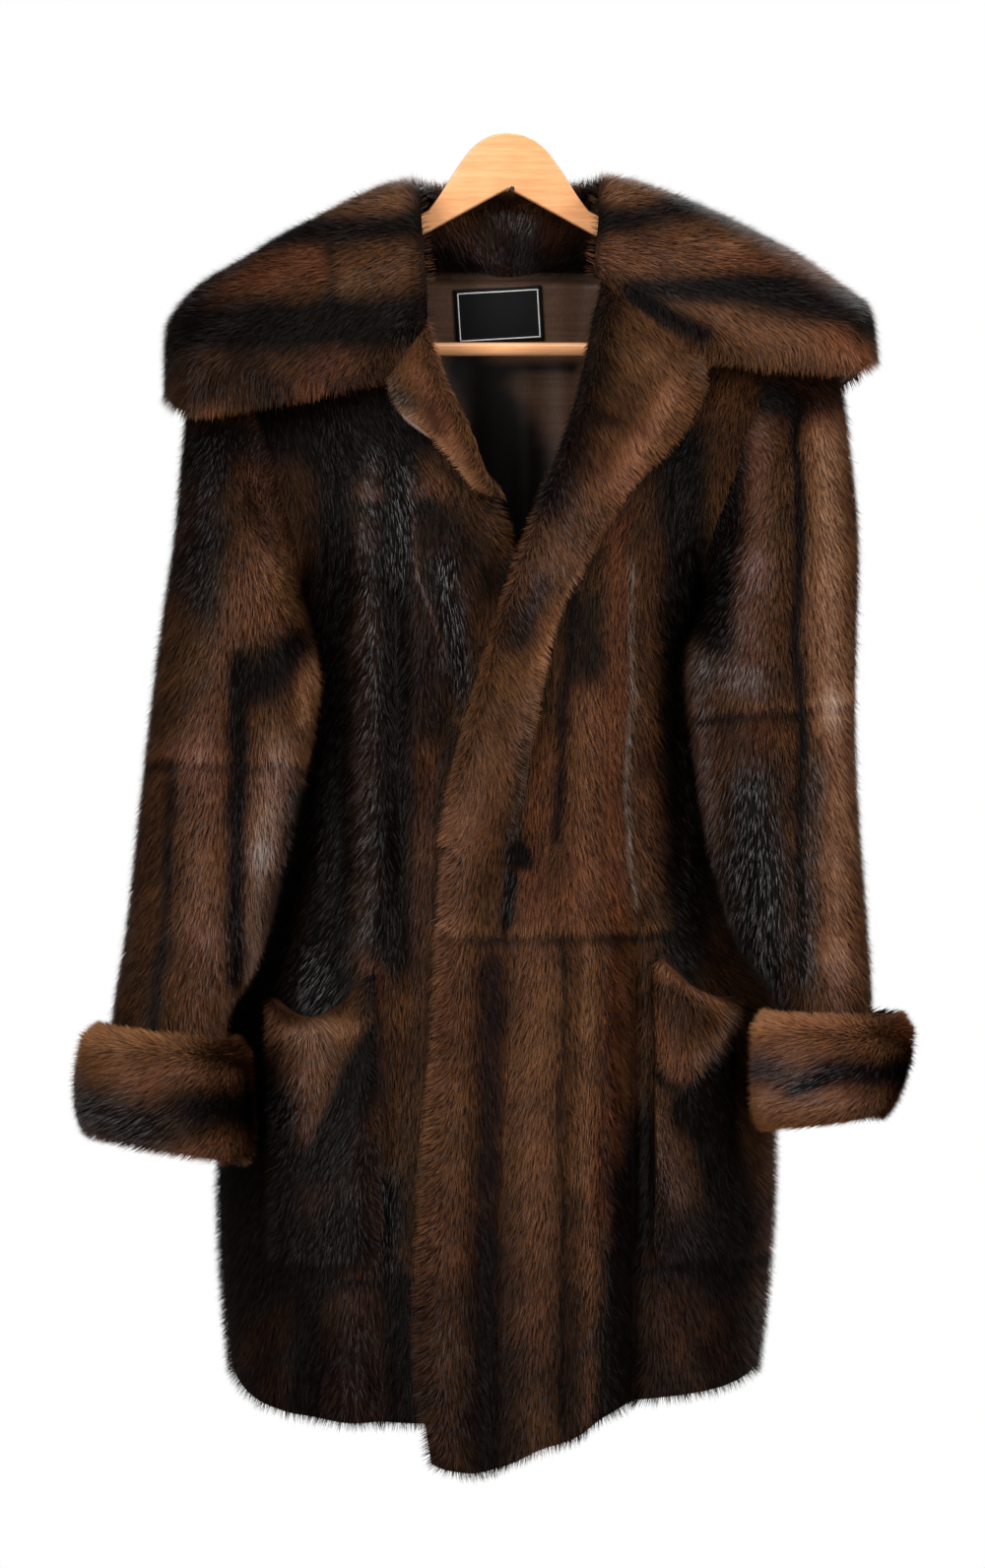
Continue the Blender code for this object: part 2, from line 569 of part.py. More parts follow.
def make_sleeve(hand, table, cuff_table, fur):
    sign = 1 if hand == "left" else -1
    upper = np.array([sign * TIP_X, 0.0, TIP_Z])
    lower = np.array([SIDE[hand + "_x"][0], 0.0, UNDERARM_Z])
    along = (upper - lower) / np.linalg.norm(upper - lower)
    away = np.array([sign * along[2], 0.0, -sign * along[0]])
    turn = np.arange(18) / 18
    points = sleeve(table, turn, np.linspace(0, 1, 14))
    normal = normals(points, wrap=True) * sign
    angle = 2 * math.pi * turn
    half_length = np.linalg.norm(upper - lower) / 2
    ring = np.outer(np.cos(angle) / half_length, along)
    ring[:, 1] = -np.sin(angle) / ARMHOLE_DEPTH
    normal[0] = unit(ring)
    points = creased(points, normal, turn) + away * SEAM_GAP
    grid = rimmed(points, normal, half_of(FUR, points), rows=(-1,))
    wall("sleeve_" + hand, fur, *grid, outward=sign, wrap=True)

    points = sleeve(cuff_table, turn, np.linspace(0, 1, 5))
    normal = -normals(points, wrap=True) * sign
    grid = rimmed(points, normal, half_of(COLLAR_FUR, points), rows=(0, -1))
    wall("cuff_" + hand, fur, *grid, outward=-sign, wrap=True)


def make_collar(fur):
    station = np.linspace(0, 1, 29)
    fall = np.array([-1, -0.5, 0, 0.14, 0.33, 0.52, 0.7, 0.85, 0.94, 0.98, 0.993, 1])
    points = collar_fall(station, fall)
    normal = normals(points)
    upright = 1 - step(0.12, 0.22, np.abs(station - 0.5))[:, None]
    normal[0] = unit(normal[0] + (unit(normal[0] * (1, 1, 0)) - normal[0]) * upright)
    normal[:, 0] = normal[:, -1] = (0, -1, 0)
    grid = rimmed(points, normal, half_of(COLLAR_FUR, points), rows=(-1,))
    wall("collar", fur, *grid)
    return points[0, np.abs(station - 0.5) < 0.2]


def make_stand(fur, collar_turn):
    """The stand rises from the back neckline to the first row of the collar."""
    points = back(BACK_COLUMNS, levels(*BODY_ROWS))
    normal = torso_normals(points, 1, True)[0, STAND_COLUMNS]
    low = points[0, STAND_COLUMNS]
    high = np.stack([np.interp(low[:, 0], collar_turn[:, 0], collar_turn[:, i]) for i in range(3)],
                    axis=1)
    low[:, 2] += LAY_GAP + SEAM_GAP
    high[:, 2] -= LAY_GAP
    points = np.array([high + (low - high) * t for t in np.linspace(0, 1, 4)])
    normal = np.repeat(normal[None], 4, axis=0)
    wall("collar_stand", fur, points, normal, half_of(FUR, points))


def lapel(name, table, panel, edge, sign, steps, fur):
    """A lapel: the strip from the front's edge out to its own outer edge, laid on the front."""
    place = np.linspace(0, 1, len(table["thick"]))
    down = np.linspace(0, 1, steps)
    row = {column: smooth(place, table[column], down) for column in table}
    across = np.linspace(0, 1, 7)[None, :]
    roll_x = edge(row["roll_z"]) + sign * ROLL_INSET
    x = roll_x[:, None] + (row["outer_x"] - roll_x)[:, None] * across
    z = row["roll_z"][:, None] + (row["outer_z"] - row["roll_z"])[:, None] * across
    base, normal = on_panel(panel, x, z, sign)
    normal[0] = (0, -1, 0)
    half = np.repeat(row["thick"][:, None] / 2, 7, axis=1)
    points = base + normal * (FUR / 2 + LAY_GAP + half)[..., None]
    outward = 1 if table["outer_x"][0] < 0 else -1
    grid = rimmed(points, normal, half, rows=(-1,), columns=(0, -1))
    wall(name, fur, *grid, outward=outward)


def pocket(name, table, panel, sign, fur):
    """A patch on the front, its mouth sagging and gaping in a pouch."""
    across = np.linspace(0, 1, 10)[None, :]
    down = np.linspace(0, 1, 10)[:, None] ** 1.15
    x = table["inner_x"] + (table["outer_x"] - table["inner_x"]) * across + 0 * down
    mouth = table["inner_z"] + (table["outer_z"] - table["inner_z"]) * across
    mouth = mouth - table["sag"] * np.sin(math.pi * across) ** 1.5
    z = mouth + (table["foot_z"] - mouth) * down
    base, normal = on_panel(panel, x, z, sign)
    depth = np.clip((z - table["pouch_foot_z"]) / (table["inner_z"] - table["pouch_foot_z"]), 0, 1)
    centre = table["pouch_foot_x"] + (table["pouch_x"] - table["pouch_foot_x"]) * depth
    spread = np.clip(np.abs(x - centre) / (table["pouch_half"] * (0.25 + 0.75 * depth)), 0, 1)
    gape = table["gape"] * depth**0.8 * (0.5 + 0.5 * np.cos(math.pi * spread))
    points = base + normal * (FUR + LAY_GAP + SEAM_GAP)
    points[..., 1] -= gape
    normal = normals(points)
    if normal[3, 3, 1] > 0:
        normal = -normal
    outward = 1 if table["outer_x"] < 0 else -1
    grid = rimmed(points, normal, half_of(FUR, points), rows=(0, -1), columns=(0, -1))
    wall(name, fur, *grid, outward=outward)


def make_lining(satin, label):
    """The back lining from the neck seam down, and the plain label sewn on it."""
    down = np.concatenate([[0, 0.03, 0.07], np.linspace(0.12, 1, 12)])[:, None]
    z = LINING_TOP + (LINING_FOOT - LINING_TOP) * down
    z = z + 0 * np.linspace(0, 1, 11)[None, :]
    half_width = np.interp(-z, [-LINING_TOP, 170, 300, -LINING_FOOT], LINING_HALF_WIDTHS)
    x = half_width * np.linspace(-1, 1, 11)[None, :] + LINING_SHIFT
    base, normal = on_panel(unfolded_back, x, z, 1)
    clear = FUR / 2 + LAY_GAP + SATIN / 2 + LINING_SLACK * step(-200, -420, z)
    points = base - normal * clear[..., None]
    normal = normals(points)
    wall("lining", satin, points, normal, half_of(SATIN, points))

    across, up = np.meshgrid(np.linspace(-0.5, 0.5, 7), np.linspace(0.5, -0.5, 5))
    side, rise = across * LABEL_SIZE[0], up * LABEL_SIZE[1]
    x = LABEL_CENTRE[0] + side * math.cos(LABEL_TILT) - rise * math.sin(LABEL_TILT)
    z = LABEL_CENTRE[1] + side * math.sin(LABEL_TILT) + rise * math.cos(LABEL_TILT)
    base, normal = on_panel(back, x, z, 1)
    inward = FUR / 2 + LAY_GAP + SATIN + SEAM_GAP + 0.4 + LABEL_THICKNESS / 2
    points = base - normal * inward
    wall("label", label, points, normals(points), half_of(LABEL_THICKNESS, points))


def make_hanger(wood):
    """A rounded plank: a crown and two arms, with a round bar between the arms' ends."""
    reach = np.array([0, 7, 14, 21, 28, 36, 45, 53, 61, 90, 125, 155, 180, 189, 191, 198, 203, 206])
    x = np.concatenate([-reach[:0:-1], reach])
    slope = (TIP_Z - NECK_Z) / (TIP_X - NECK_X)
    crown_end = CROWN["x"][-1]
    arm_top = CROWN["z"][-1] + (np.abs(x) - crown_end) * slope
    top = np.where(np.abs(x) > crown_end, arm_top, smooth(CROWN["x"], CROWN["z"], np.abs(x)))
    foot = np.interp(np.abs(x), HANGER_FOOT["x"], HANGER_FOOT["z"])
    angle = 2 * math.pi * (np.arange(12) + 0.5) / 12
    flat = 0.95
    across = np.sign(np.cos(angle)) * np.abs(np.cos(angle)) ** flat
    up = np.sign(np.sin(angle)) * np.abs(np.sin(angle)) ** flat
    across, up = across / across.max(), up / up.max()
    narrow = np.where(np.abs(x) > 204, 0.55, 1.0)
    rings = []
    for i in range(len(x)):
        middle, half = (top[i] + foot[i]) / 2, (top[i] - foot[i]) / 2
        rings.append([(x[i], across[k] * HANGER_HALF_THICKNESS * narrow[i],
                       middle + up[k] * half * narrow[i]) for k in range(12)])
    tube("hanger_body", wood, rings)

    rings = []
    for x_end in (-BAR_HALF_LENGTH, BAR_HALF_LENGTH):
        angle = 2 * math.pi * np.arange(14) / 14
        rings.append([(x_end, BAR_RADIUS * math.cos(a), BAR_Z + BAR_RADIUS * math.sin(a))
                      for a in angle])
    tube("hanger_bar", wood, rings)


def tube(name, surface, rings):
    """A closed solid through rings of points, its ends capped flat."""
    count = len(rings[0])
    faces = [tuple(range(count))[::-1], tuple(range((len(rings) - 1) * count, len(rings) * count))]
    for r in range(len(rings) - 1):
        for c in range(count):
            a, b = r * count + c, r * count + (c + 1) % count
            faces.append((a, b, b + count, a + count))
    add_object(name, np.array(rings, float).reshape(-1, 3), faces, surface)


def main():
    for old in list(bpy.data.objects):
        bpy.data.objects.remove(old, do_unlink=True)
    fur = material("fur", 0.55)
    make_body(fur)
    make_sleeve("right", RIGHT_SLEEVE, RIGHT_CUFF, fur)
    make_sleeve("left", LEFT_SLEEVE, LEFT_CUFF, fur)
    make_stand(fur, make_collar(fur))
    lapel("lapel_left", LEFT_LAPEL, front_left, left_edge, 1, 13, fur)
    lapel("lapel_right", RIGHT_LAPEL, front_right, right_edge, -1, 7, fur)
    pocket("pocket_right", RIGHT_POCKET, front_right, -1, fur)
    pocket("pocket_left", LEFT_POCKET, front_left, 1, fur)
    make_lining(material("satin", 0.4), material("label", 0.6))
    make_hanger(material("wood", 0.35))


main()
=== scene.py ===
"""Looks of the long-haired mink coat on its wooden hanger.

Each cloth piece is worked out again from the same tables as the solids, in millimetres, as a thin
skin that carries its own coat of hairs. Left and right are the wearer's, so the left front lies on
the +X side; -Y is the front, +Z is up and the origin is the top of the hanger's crown.
"""
import math

import bpy
import numpy as np
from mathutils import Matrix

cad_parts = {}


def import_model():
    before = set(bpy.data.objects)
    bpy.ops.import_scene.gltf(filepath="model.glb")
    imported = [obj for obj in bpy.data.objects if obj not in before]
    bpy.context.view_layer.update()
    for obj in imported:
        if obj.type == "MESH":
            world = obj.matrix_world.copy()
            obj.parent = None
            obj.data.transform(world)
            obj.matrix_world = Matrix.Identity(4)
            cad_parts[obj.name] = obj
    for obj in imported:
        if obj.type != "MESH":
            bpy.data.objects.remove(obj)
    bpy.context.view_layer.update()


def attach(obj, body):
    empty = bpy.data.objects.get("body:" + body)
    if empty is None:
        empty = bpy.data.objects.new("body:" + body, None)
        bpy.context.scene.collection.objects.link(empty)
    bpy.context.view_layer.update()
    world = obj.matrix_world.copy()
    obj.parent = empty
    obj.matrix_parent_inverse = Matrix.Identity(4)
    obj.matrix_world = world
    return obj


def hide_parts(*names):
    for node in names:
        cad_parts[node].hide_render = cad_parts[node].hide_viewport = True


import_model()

MM = 0.001
SEAM_GAP = 0.3          # between two pieces that are sewn together or lie on each other
FUR = 9.0               # pelt and pile of the body, sleeves and pockets
SATIN = 1.5
LABEL_THICKNESS = 1.2
LAY_GAP = 0.8           # between a curved panel and what lies on it
ROLL_INSET = 1.5        # from a front's edge to the middle of its lapel's roll

# ---------------------------------------------------------------- sizes of the scene's own detail
CAMERA_X, CAMERA_Z = -12.0, -496.0      # the camera's place across and up
VIEW_DISTANCE = 4500.0                  # from the camera to the hanger
PICTURE_HEIGHT = 1194.0                 # what the picture takes in at the hanger's depth
# Rows and columns of the cloths' grids.
ARMHOLE_ROWS, SKIRT_ROWS = 26, 44
SLEEVE_ROWS, SLEEVE_COLUMNS = 60, 56
CUFF_ROWS, LAPEL_COLUMNS = 16, 16
COLLAR_ROWS, COLLAR_COLUMNS = dict(turn=8, fall=20, edge=16), 96
STAND_ROWS, STAND_COLUMNS = 12, 44
POCKET_ROWS, POCKET_COLUMNS = 28, 26
# The skins stop short of the solids' edges, where hairs go on: the last row or column's place.
HEM_LEVEL = 1.997
FRONT_END = 0.972
SLEEVE_END = 0.99
LAPEL_FOOT, LAPEL_END = 0.985, 0.93
COLLAR_SIDE = 0.004
COLLAR_EDGE = (0.02, 0.84)              # and first, down the collar's hanging edge
POCKET_SIDE, POCKET_TOP, POCKET_FOOT = 0.04, 0.02, 0.97
POCKET_SPACING = 1.15                   # its rows are closer at the mouth
COLLAR_DROP = 60                        # how suddenly the collar's edge drops from its fall
CUFF_RIM_IN, CUFF_FOOT_IN = 9.0, 5.0    # how far a cuff's two edges turn in
STAND_HALF_WIDTH = 65
LAPEL_SINK = 3.5                        # how far the rolled band's foot sinks into the front
POCKET_SAG_SHARE = 0.88                 # of the table's sag; the hairs hang down the rest
LINING_NECK_HALF = 77                   # the lining's half width under the collar stand
# The lining's painted shadow: the most of its dark colour that it takes, and how it is sharpened.
LINING_DEEPEST_SHADOW = 0.96
LINING_SHADOW_CONTRAST, LINING_SHADOW_THRESHOLD = 1.6, 0.3    # of the dark between its folds
SKIN_OUT, SKIN_IN = 1.4, 4.5            # from a pelt's middle surface to the skin's two faces
COLLAR_SKIN_OUT, COLLAR_SKIN_IN = 2.4, 5.0
LABEL_RISE = 2.0                        # the label is drawn this much higher than its solid
LABEL_STAND_OFF = 0.4                   # and this far in front of the lining
LABEL_BOW = 0.9                         # how much nearer the lining its two ends are
LABEL_LIFT = 0.6                        # how much further forward its middle is
BORDER_INSET, BORDER_WIDTH = 3.0, 0.9   # the label's woven line
BORDER_BACK, BORDER_FACE = 0.35, 1.0    # its two faces, in front of the label's middle
EDGE_RADIUS = 1.5                       # the leather rim under the right lapel
RIM_ROWS = slice(9, 16)                 # the rows of the right lapel that the rim follows
RIM_SHIFT = (-3.0, -7.0, -4.6)          # and how far beside their ends it lies
SEAM_COVER = 1.0                        # how far a body skin runs on over its side seam
BAR_DROP = 3.0                          # the bar is drawn this much lower than its solid
CROWN_FOOT = (-43, -48.2)               # the hanger's lower edge at its middle, as drawn
EDGE_ROUNDING = 2.4                     # of the hanger's edges
HANGER_SIDES = 40                       # points round its section
TIP_THINNING = dict(beyond=204, share=0.6)      # of the arms' ends
HOLE = dict(x=3.0, z=-43.2, radius=1.9, deep=0.6, proud=0.15)       # under the crown
SWELL_POWER = 6                         # keeps a side swell to the panel's outer side
# Heights where the body swells out to the sleeve beside it: middle, reach up and down, and how far.
SIDE_SWELLS = (dict(z=-358, reach=26, out=17), dict(z=-672, reach=40, out=24))
# Where the collar's fur is fuller or flatter than its plain fall: middle, reach and height.
COLLAR_PUFFS = (
    dict(x=-232, z=-108, reach=34, out=9),
    dict(x=-180, z=-72, reach=28, out=4),
    dict(x=-262, z=-190, reach=30, out=-4),
    dict(x=262, z=-110, reach=34, out=-5),
    dict(x=276, z=-165, reach=26, out=-4),
)
FACING_FOOT = -105.0                    # the fur inside the back of the neck ends here
# Painted shadow on the lining, where it folds away into the dark, by place in the picture; deep is how
# dark each line is painted.
LINING_PAINTED_SHADOWS = (
    dict(x0=-30, z0=-180, x1=28, z1=-268, width=20, deep=0.95),
    dict(x0=-34, z0=-182, x1=48, z1=-179, width=4.5, deep=0.9),
    dict(x0=-8, z0=-245, x1=20, z1=-340, width=26, deep=0.95),
    dict(x0=-66, z0=-96, x1=60, z1=-96, width=9, deep=0.5),
)
# Its folds, from top to foot: how far forward they stand, and their half-width.
LINING_FOLDS = (
    dict(x_top=-52, x_low=-70, height=2.5, width=9),
    dict(x_top=-26, x_low=-40, height=-2.0, width=10),
    dict(x_top=14, x_low=10, height=2.2, width=8),
    dict(x_top=40, x_low=60, height=3.0, width=9),
    dict(x_top=66, x_low=100, height=-3.0, width=12),
)

# ---------------------------------------------------------------- driving dimensions
NECK_X = 68.0           # where the shoulder seam meets the neck
NECK_Z = -57.0
TIP_X = 214.0           # shoulder tip, the top of the armhole
TIP_Z = -133.5
UNDERARM_Z = -335.0
UNDERARM_Y = 5.0
ARMHOLE_DEPTH = 45.0    # half the armhole's width from front to back
NECKLINE_Z = -108.0     # middle of the back neckline
SIDE_POWER = 2.0        # how boxy the body is in plan

# The body below the underarm, by height: side seams and the depth of front and back.
SIDE = {
    "z":       (-335, -350, -420, -500, -600, -700, -780, -870, -960),
    "right_x": (-152, -148, -151, -161, -185, -210, -218, -216, -207),
    "left_x":  (142, 138, 140, 149, 172, 195, 200.5, 196, 185),
    "side_y":  (5, 6, 12, 18, 24, 28, 28, 25, 20),
    "front_y": (-63, -64, -68, -74, -82, -92, -100, -106, -110),
    "back_y":  (46, 46.5, 49, 53, 58, 66, 72, 78, 82),
}
# The yoke, from the shoulder seam (turn 0) down the armhole to the underarm (turn 1).
YOKE = {
    "turn":    (0, 0.06, 0.125, 0.25, 0.375, 0.5, 0.625, 0.75, 0.875, 1),
    "front_y": (0, -11, -19, -29, -38, -46, -53, -59, -62.4, -63),
    "back_y":  (0, 11, 18, 26, 31, 35.5, 39.5, 43.4, 45.6, 46),
    "neck_y":  (24, 24.8, 26, 29, 33, 37, 41, 44, 45.7, 46),
}
# Front edges, from the neck down the roll line of the lapel to the hem.
LEFT_EDGE = {
    "z": (-1010, -949, -799, -686, -536, -424, -296, -274, -236, -199, -146, -113, -80, -57),
    "x": (-63, -72, -70, -61, -50, -24, 17.5, 25, 40, 51, 62, 69, 70, 68),
}
RIGHT_EDGE = {
    "z": (-970, -800, -600, -424, -320, -289, -259, -214, -199, -161, -116, -80, -57),
    "x": (0, 4, 8, 10, 6, -3, -16, -35, -44, -57, -65, -70, -68),
}
# Hems, by width.
LEFT_HEM = {
    "x": (-77, -65, -35, -5, 22, 55, 72, 90, 138, 175, 190),
    "z": (-977, -996, -1010, -1006, -993, -980, -967, -960, -954, -947, -940),
}
RIGHT_HEM = {
    "x": (-212, -200, -170, -125, -80, 15),
    "z": (-940, -954, -968, -974, -975, -974),
}
BACK_HEM = {
    "x": (-212, -190, -100, 0, 100, 170, 190),
    "z": (-940, -954, -965, -969, -962, -950, -940),
}
# Folds: the line that each follows, the height that it stands out (or sinks in), half-width.
FRONT_FOLDS = (
    dict(x_top=-128, x_low=-122, z_top=-300, z_low=-612, height=-11, width=13),
    dict(x_top=-104, x_low=-98, z_top=-300, z_low=-612, height=8, width=11),
    dict(x_top=-84, x_low=-80, z_top=-320, z_low=-612, height=-7, width=9),
    dict(x_top=-176, x_low=-186, z_top=-885, z_low=-1100, height=8, width=20),
    dict(x_top=-146, x_low=-152, z_top=-885, z_low=-1100, height=-9, width=12),
    dict(x_top=-120, x_low=-126, z_top=-885, z_low=-1100, height=8, width=13),
    dict(x_top=-96, x_low=-98, z_top=-885, z_low=-1100, height=-8, width=11),
    dict(x_top=0, x_low=-10, z_top=-530, z_low=-1100, height=-8, width=15),
    dict(x_top=52, x_low=40, z_top=-430, z_low=-1100, height=8, width=22),
    dict(x_top=74, x_low=72, z_top=-560, z_low=-1100, height=10, width=12),
    dict(x_top=90, x_low=91, z_top=-560, z_low=-1100, height=-17, width=9),
    dict(x_top=122, x_low=128, z_top=-340, z_low=-612, height=-9, width=9),
    dict(x_top=148, x_low=146, z_top=-885, z_low=-1100, height=8, width=18),
)
BACK_FOLDS = (
    dict(x_top=-112, x_low=-150, z_top=-330, z_low=-1100, height=-9, width=20),
    dict(x_top=-70, x_low=-92, z_top=-300, z_low=-1100, height=7, width=26),
    dict(x_top=-24, x_low=-30, z_top=-420, z_low=-1100, height=-8, width=18),
    dict(x_top=22, x_low=30, z_top=-360, z_low=-1100, height=6, width=26),
    dict(x_top=72, x_low=88, z_top=-460, z_low=-1100, height=-9, width=19),
    dict(x_top=104, x_low=136, z_top=-330, z_low=-1100, height=7, width=22),
)
OVERLAP_TUCK = 13.0     # how far the under front sinks behind the upper one
TUCK_START = 46.0       # where that starts, before the upper front's edge
TUCK_END = 14.0

# Sleeves: outer and inner point, middle and half-depth of each ring, shoulder to wrist.
RIGHT_SLEEVE = {
    "outer_x": (-214, -224, -233, -239, -244, -249, -259, -268, -275.5, -284, -293, -301),
    "outer_z": (-133.5, -147, -168, -200, -250, -310, -380, -455, -525, -605, -665, -748),
    "inner_x": (-152, -158.5, -161, -158, -152.5, -149, -147, -156, -171, -192, -216, -209),
    "inner_z": (-335, -340, -350, -364, -380, -395, -430, -485, -550, -628, -678, -768),
    "mid_y":   (2.5, -2, -8, -17, -26, -33, -38, -42, -46, -52, -57, -60),
    "depth":   (45, 46, 47, 48, 48, 48, 47, 46, 46, 46, 46, 46),
}
LEFT_SLEEVE = {
    "outer_x": (214, 226, 239, 249, 255, 261, 259.5, 258, 260, 265.5, 269, 267.5),
    "outer_z": (-133.5, -145, -163, -192, -240, -310, -380, -440, -514, -590, -655, -737),
    "inner_x": (142, 149, 152, 149, 144, 139, 138.5, 144, 154, 175, 203.5, 202),
    "inner_z": (-335, -341, -351, -364, -381, -398, -430, -475, -540, -612, -658, -746),
    "mid_y":   (2.5, -2, -8, -17, -26, -33, -38, -42, -46, -52, -57, -60),
    "depth":   (45, 46, 47, 48, 49, 49, 48, 47, 46, 46, 46, 46),
}
# Creases of a sleeve: turn round the ring (0 outer side, 0.25 front), height range, depth.
SLEEVE_FOLDS = (
    dict(turn_top=0.27, turn_low=0.20, z_top=-330, z_low=-640, height=-8, width=0.035),
    dict(turn_top=0.72, turn_low=0.76, z_top=-360, z_low=-640, height=-7, width=0.04),
    dict(turn_top=0.40, turn_low=0.36, z_top=-380, z_low=-560, height=5, width=0.05),
)
RIGHT_CUFF = {
    "outer_x": (-316, -320, -318, -310),
    "outer_z": (-757, -730, -702, -677),
    "inner_x": (-198, -198, -199.5, -202.5),
    "inner_z": (-779, -748, -717, -688),
    "mid_y":   (-60, -60, -59, -58),
    "depth":   (57, 59, 60, 59),
}
LEFT_CUFF = {
    "outer_x": (281, 291, 297, 297),
    "outer_z": (-744, -720, -696, -670),
    "inner_x": (190.5, 189, 189, 191),
    "inner_z": (-753, -726, -697, -668),
    "mid_y":   (-60, -60, -59, -58),
    "depth":   (57, 59.5, 61.5, 61.5),
}
# The collar's fall, from the left-hand gorge (of the picture) round the back to the other.
# arch is 0 where it lies flat and 1 where it arches over the shoulder. It leaves the neck with
# a turn: aim is the way it goes in plan (0 to -x, 90 to +y, 180 to +x), lead the turn's length
# and bend its degrees.
COLLAR = {
    "neck_x": (-61, -62, -65, -67, -68, -54, -27, 0, 27, 54, 68, 68, 68, 66, 64),
    "neck_y": (-51, -47, -40, -21, 5, 21, 27, 29, 27, 21, 5, -18, -34, -42, -46),
    "neck_z": (-147, -114, -79, -50, -46, -53, -54, -54, -54, -52, -43, -47, -69, -91, -113),
    "edge_x": (-90, -160, -234, -257, -257, -244, -160, 0, 168, 260, 277, 276, 258, 205, 150),
    "edge_y": (-57, -74, -86, -50, 0, 46, 76, 80, 76, 46, 0, -50, -86, -78, -56),
    "edge_z": (-190, -208, -225, -214, -198, -222, -258, -266, -250, -196, -178, -184, -192,
               -186, -175),
    "arch":   (0, 0.6, 0.95, 1, 1, 1, 0.9, 0.85, 0.9, 1, 1, 1, 0.95, 0.6, 0),
    "aim":    (0, 0, 2, 8, 24, 56, 82, 90, 98, 124, 156, 172, 178, 180, 180),
    "lead":   (10, 10, 10, 11, 14, 18, 20, 20, 20, 18, 14, 11, 10, 10, 10),
    "bend":   (0, 0, 8, 25, 48, 80, 90, 90, 90, 80, 48, 25, 8, 0, 0),
}
LINING_TOP, LINING_FOOT = -110.5, -935.0
LINING_HALF_WIDTHS = (60, 100, 112, 150)
LINING_SHIFT = -6.0
LINING_SLACK = 11.0     # how far it hangs clear of the back's folds
# Lapels: heights down the roll line, which is the front's edge; outer edge; thickness.
LEFT_LAPEL = {
    "roll_z":  (-118.2, -150, -195, -240, -285, -340, -420, -500, -545),
    "outer_x": (149.5, 149, 127, 90, 56, 34, 22, 12, 2),
    "outer_z": (-175.5, -205, -240, -275, -330, -375, -430, -500, -545),
    "thick":   (12, 12, 12, 11, 10, 9, 8, 6, 3),
}
RIGHT_LAPEL = {
    "roll_z":  (-149.5, -180, -207, -232, -258, -278),
    "outer_x": (-89.3, -87, -76, -56, -36, -22),
    "outer_z": (-191.5, -204, -219, -234, -256, -274),
    "thick":   (12, 12, 12, 10, 8, 5),
}
# Pockets: corners of the patch, the sag of its mouth and the pouch that gapes from it.
RIGHT_POCKET = dict(inner_x=-97, outer_x=-174, inner_z=-628, outer_z=-652, sag=32,
                    foot_z=-858, pouch_x=-142, pouch_foot_x=-155, pouch_foot_z=-775,
                    gape=30, pouch_half=46)
LEFT_POCKET = dict(inner_x=105, outer_x=166, inner_z=-617, outer_z=-655, sag=14,
                   foot_z=-856, pouch_x=142, pouch_foot_x=130, pouch_foot_z=-765,
                   gape=30, pouch_half=44)

# Hanger: upper and lower outline by distance from the middle.
CROWN = {
    "x": (0, 14, 27, 41, 53, 61),
    "z": (0, -3, -11.5, -30, -49, -59.7),
}
HANGER_FOOT = {
    "x": (0, 10, 64, 110, 160, 189, 191, 206),
    "z": (-44, -46, -77.7, -101, -127, -142, -172, -172),
}
HANGER_HALF_THICKNESS = 5.2
BAR_RADIUS = 5.2
BAR_Z = -162.0
BAR_HALF_LENGTH = 189.6
LABEL_SIZE = (66.0, 42.0)
LABEL_CENTRE = (-7.0, -138.5)
LABEL_TILT = math.radians(3.4)


# ---------------------------------------------------------------- curves and surfaces
def smooth(knots, values, where):
    """Values of a smooth curve through the table's rows, knots rising."""
    knots = np.asarray(knots, float)
    values = np.asarray(values, float)
    where = np.clip(np.asarray(where, float), knots[0], knots[-1])
    slopes = np.gradient(values, knots)
    cell = np.clip(np.searchsorted(knots, where, side="right") - 1, 0, len(knots) - 2)
    span = knots[cell + 1] - knots[cell]
    t = (where - knots[cell]) / span
    return ((2 * t**3 - 3 * t**2 + 1) * values[cell] + (t**3 - 2 * t**2 + t) * span * slopes[cell]
            + (3 * t**2 - 2 * t**3) * values[cell + 1] + (t**3 - t**2) * span * slopes[cell + 1])


def by_height(table, column, z):
    """A column of a table whose heights fall from row to row."""
    return smooth([-v for v in table["z"]], table[column], -np.asarray(z, float))


def step(start, end, x):
    t = np.clip((np.asarray(x, float) - start) / (end - start), 0, 1)
    return t * t * (3 - 2 * t)


def folds(table, x, z):
    """Height of the folds at x, z."""
    total = np.zeros_like(np.asarray(x, float) + np.asarray(z, float))
    for fold in table:
        along = np.clip((z - fold["z_top"]) / (fold["z_low"] - fold["z_top"]), 0, 1)
        centre = fold["x_top"] + (fold["x_low"] - fold["x_top"]) * along
        fade = step(fold["z_top"], fold["z_top"] - 70, z) * step(fold["z_low"], fold["z_low"] + 70, z)
        total = total + fold["height"] * fade * np.exp(-((x - centre) / fold["width"]) ** 2)
    return total


def normals(points, wrap=False):
    """Unit normals of a grid of points; wrap says that its columns close into a ring."""
    down = np.gradient(points, axis=0)
    if wrap:
        across = (np.roll(points, -1, axis=1) - np.roll(points, 1, axis=1)) / 2
    else:
        across = np.gradient(points, axis=1)
    cross = np.cross(across, down)
    return cross / np.maximum(np.linalg.norm(cross, axis=2, keepdims=True), 1e-9)


def unit(vectors):
    return vectors / np.maximum(np.linalg.norm(vectors, axis=-1, keepdims=True), 1e-9)


def side_x(hand, z):
    """x of the side seam, or of the armhole's line above the underarm."""
    sign = 1 if hand == "left" else -1
    underarm = SIDE[hand + "_x"][0]
    rise = (np.asarray(z, float) - UNDERARM_Z) / (TIP_Z - UNDERARM_Z)
    return np.where(rise > 0, underarm + (sign * TIP_X - underarm) * rise,
                    by_height(SIDE, hand + "_x", z))


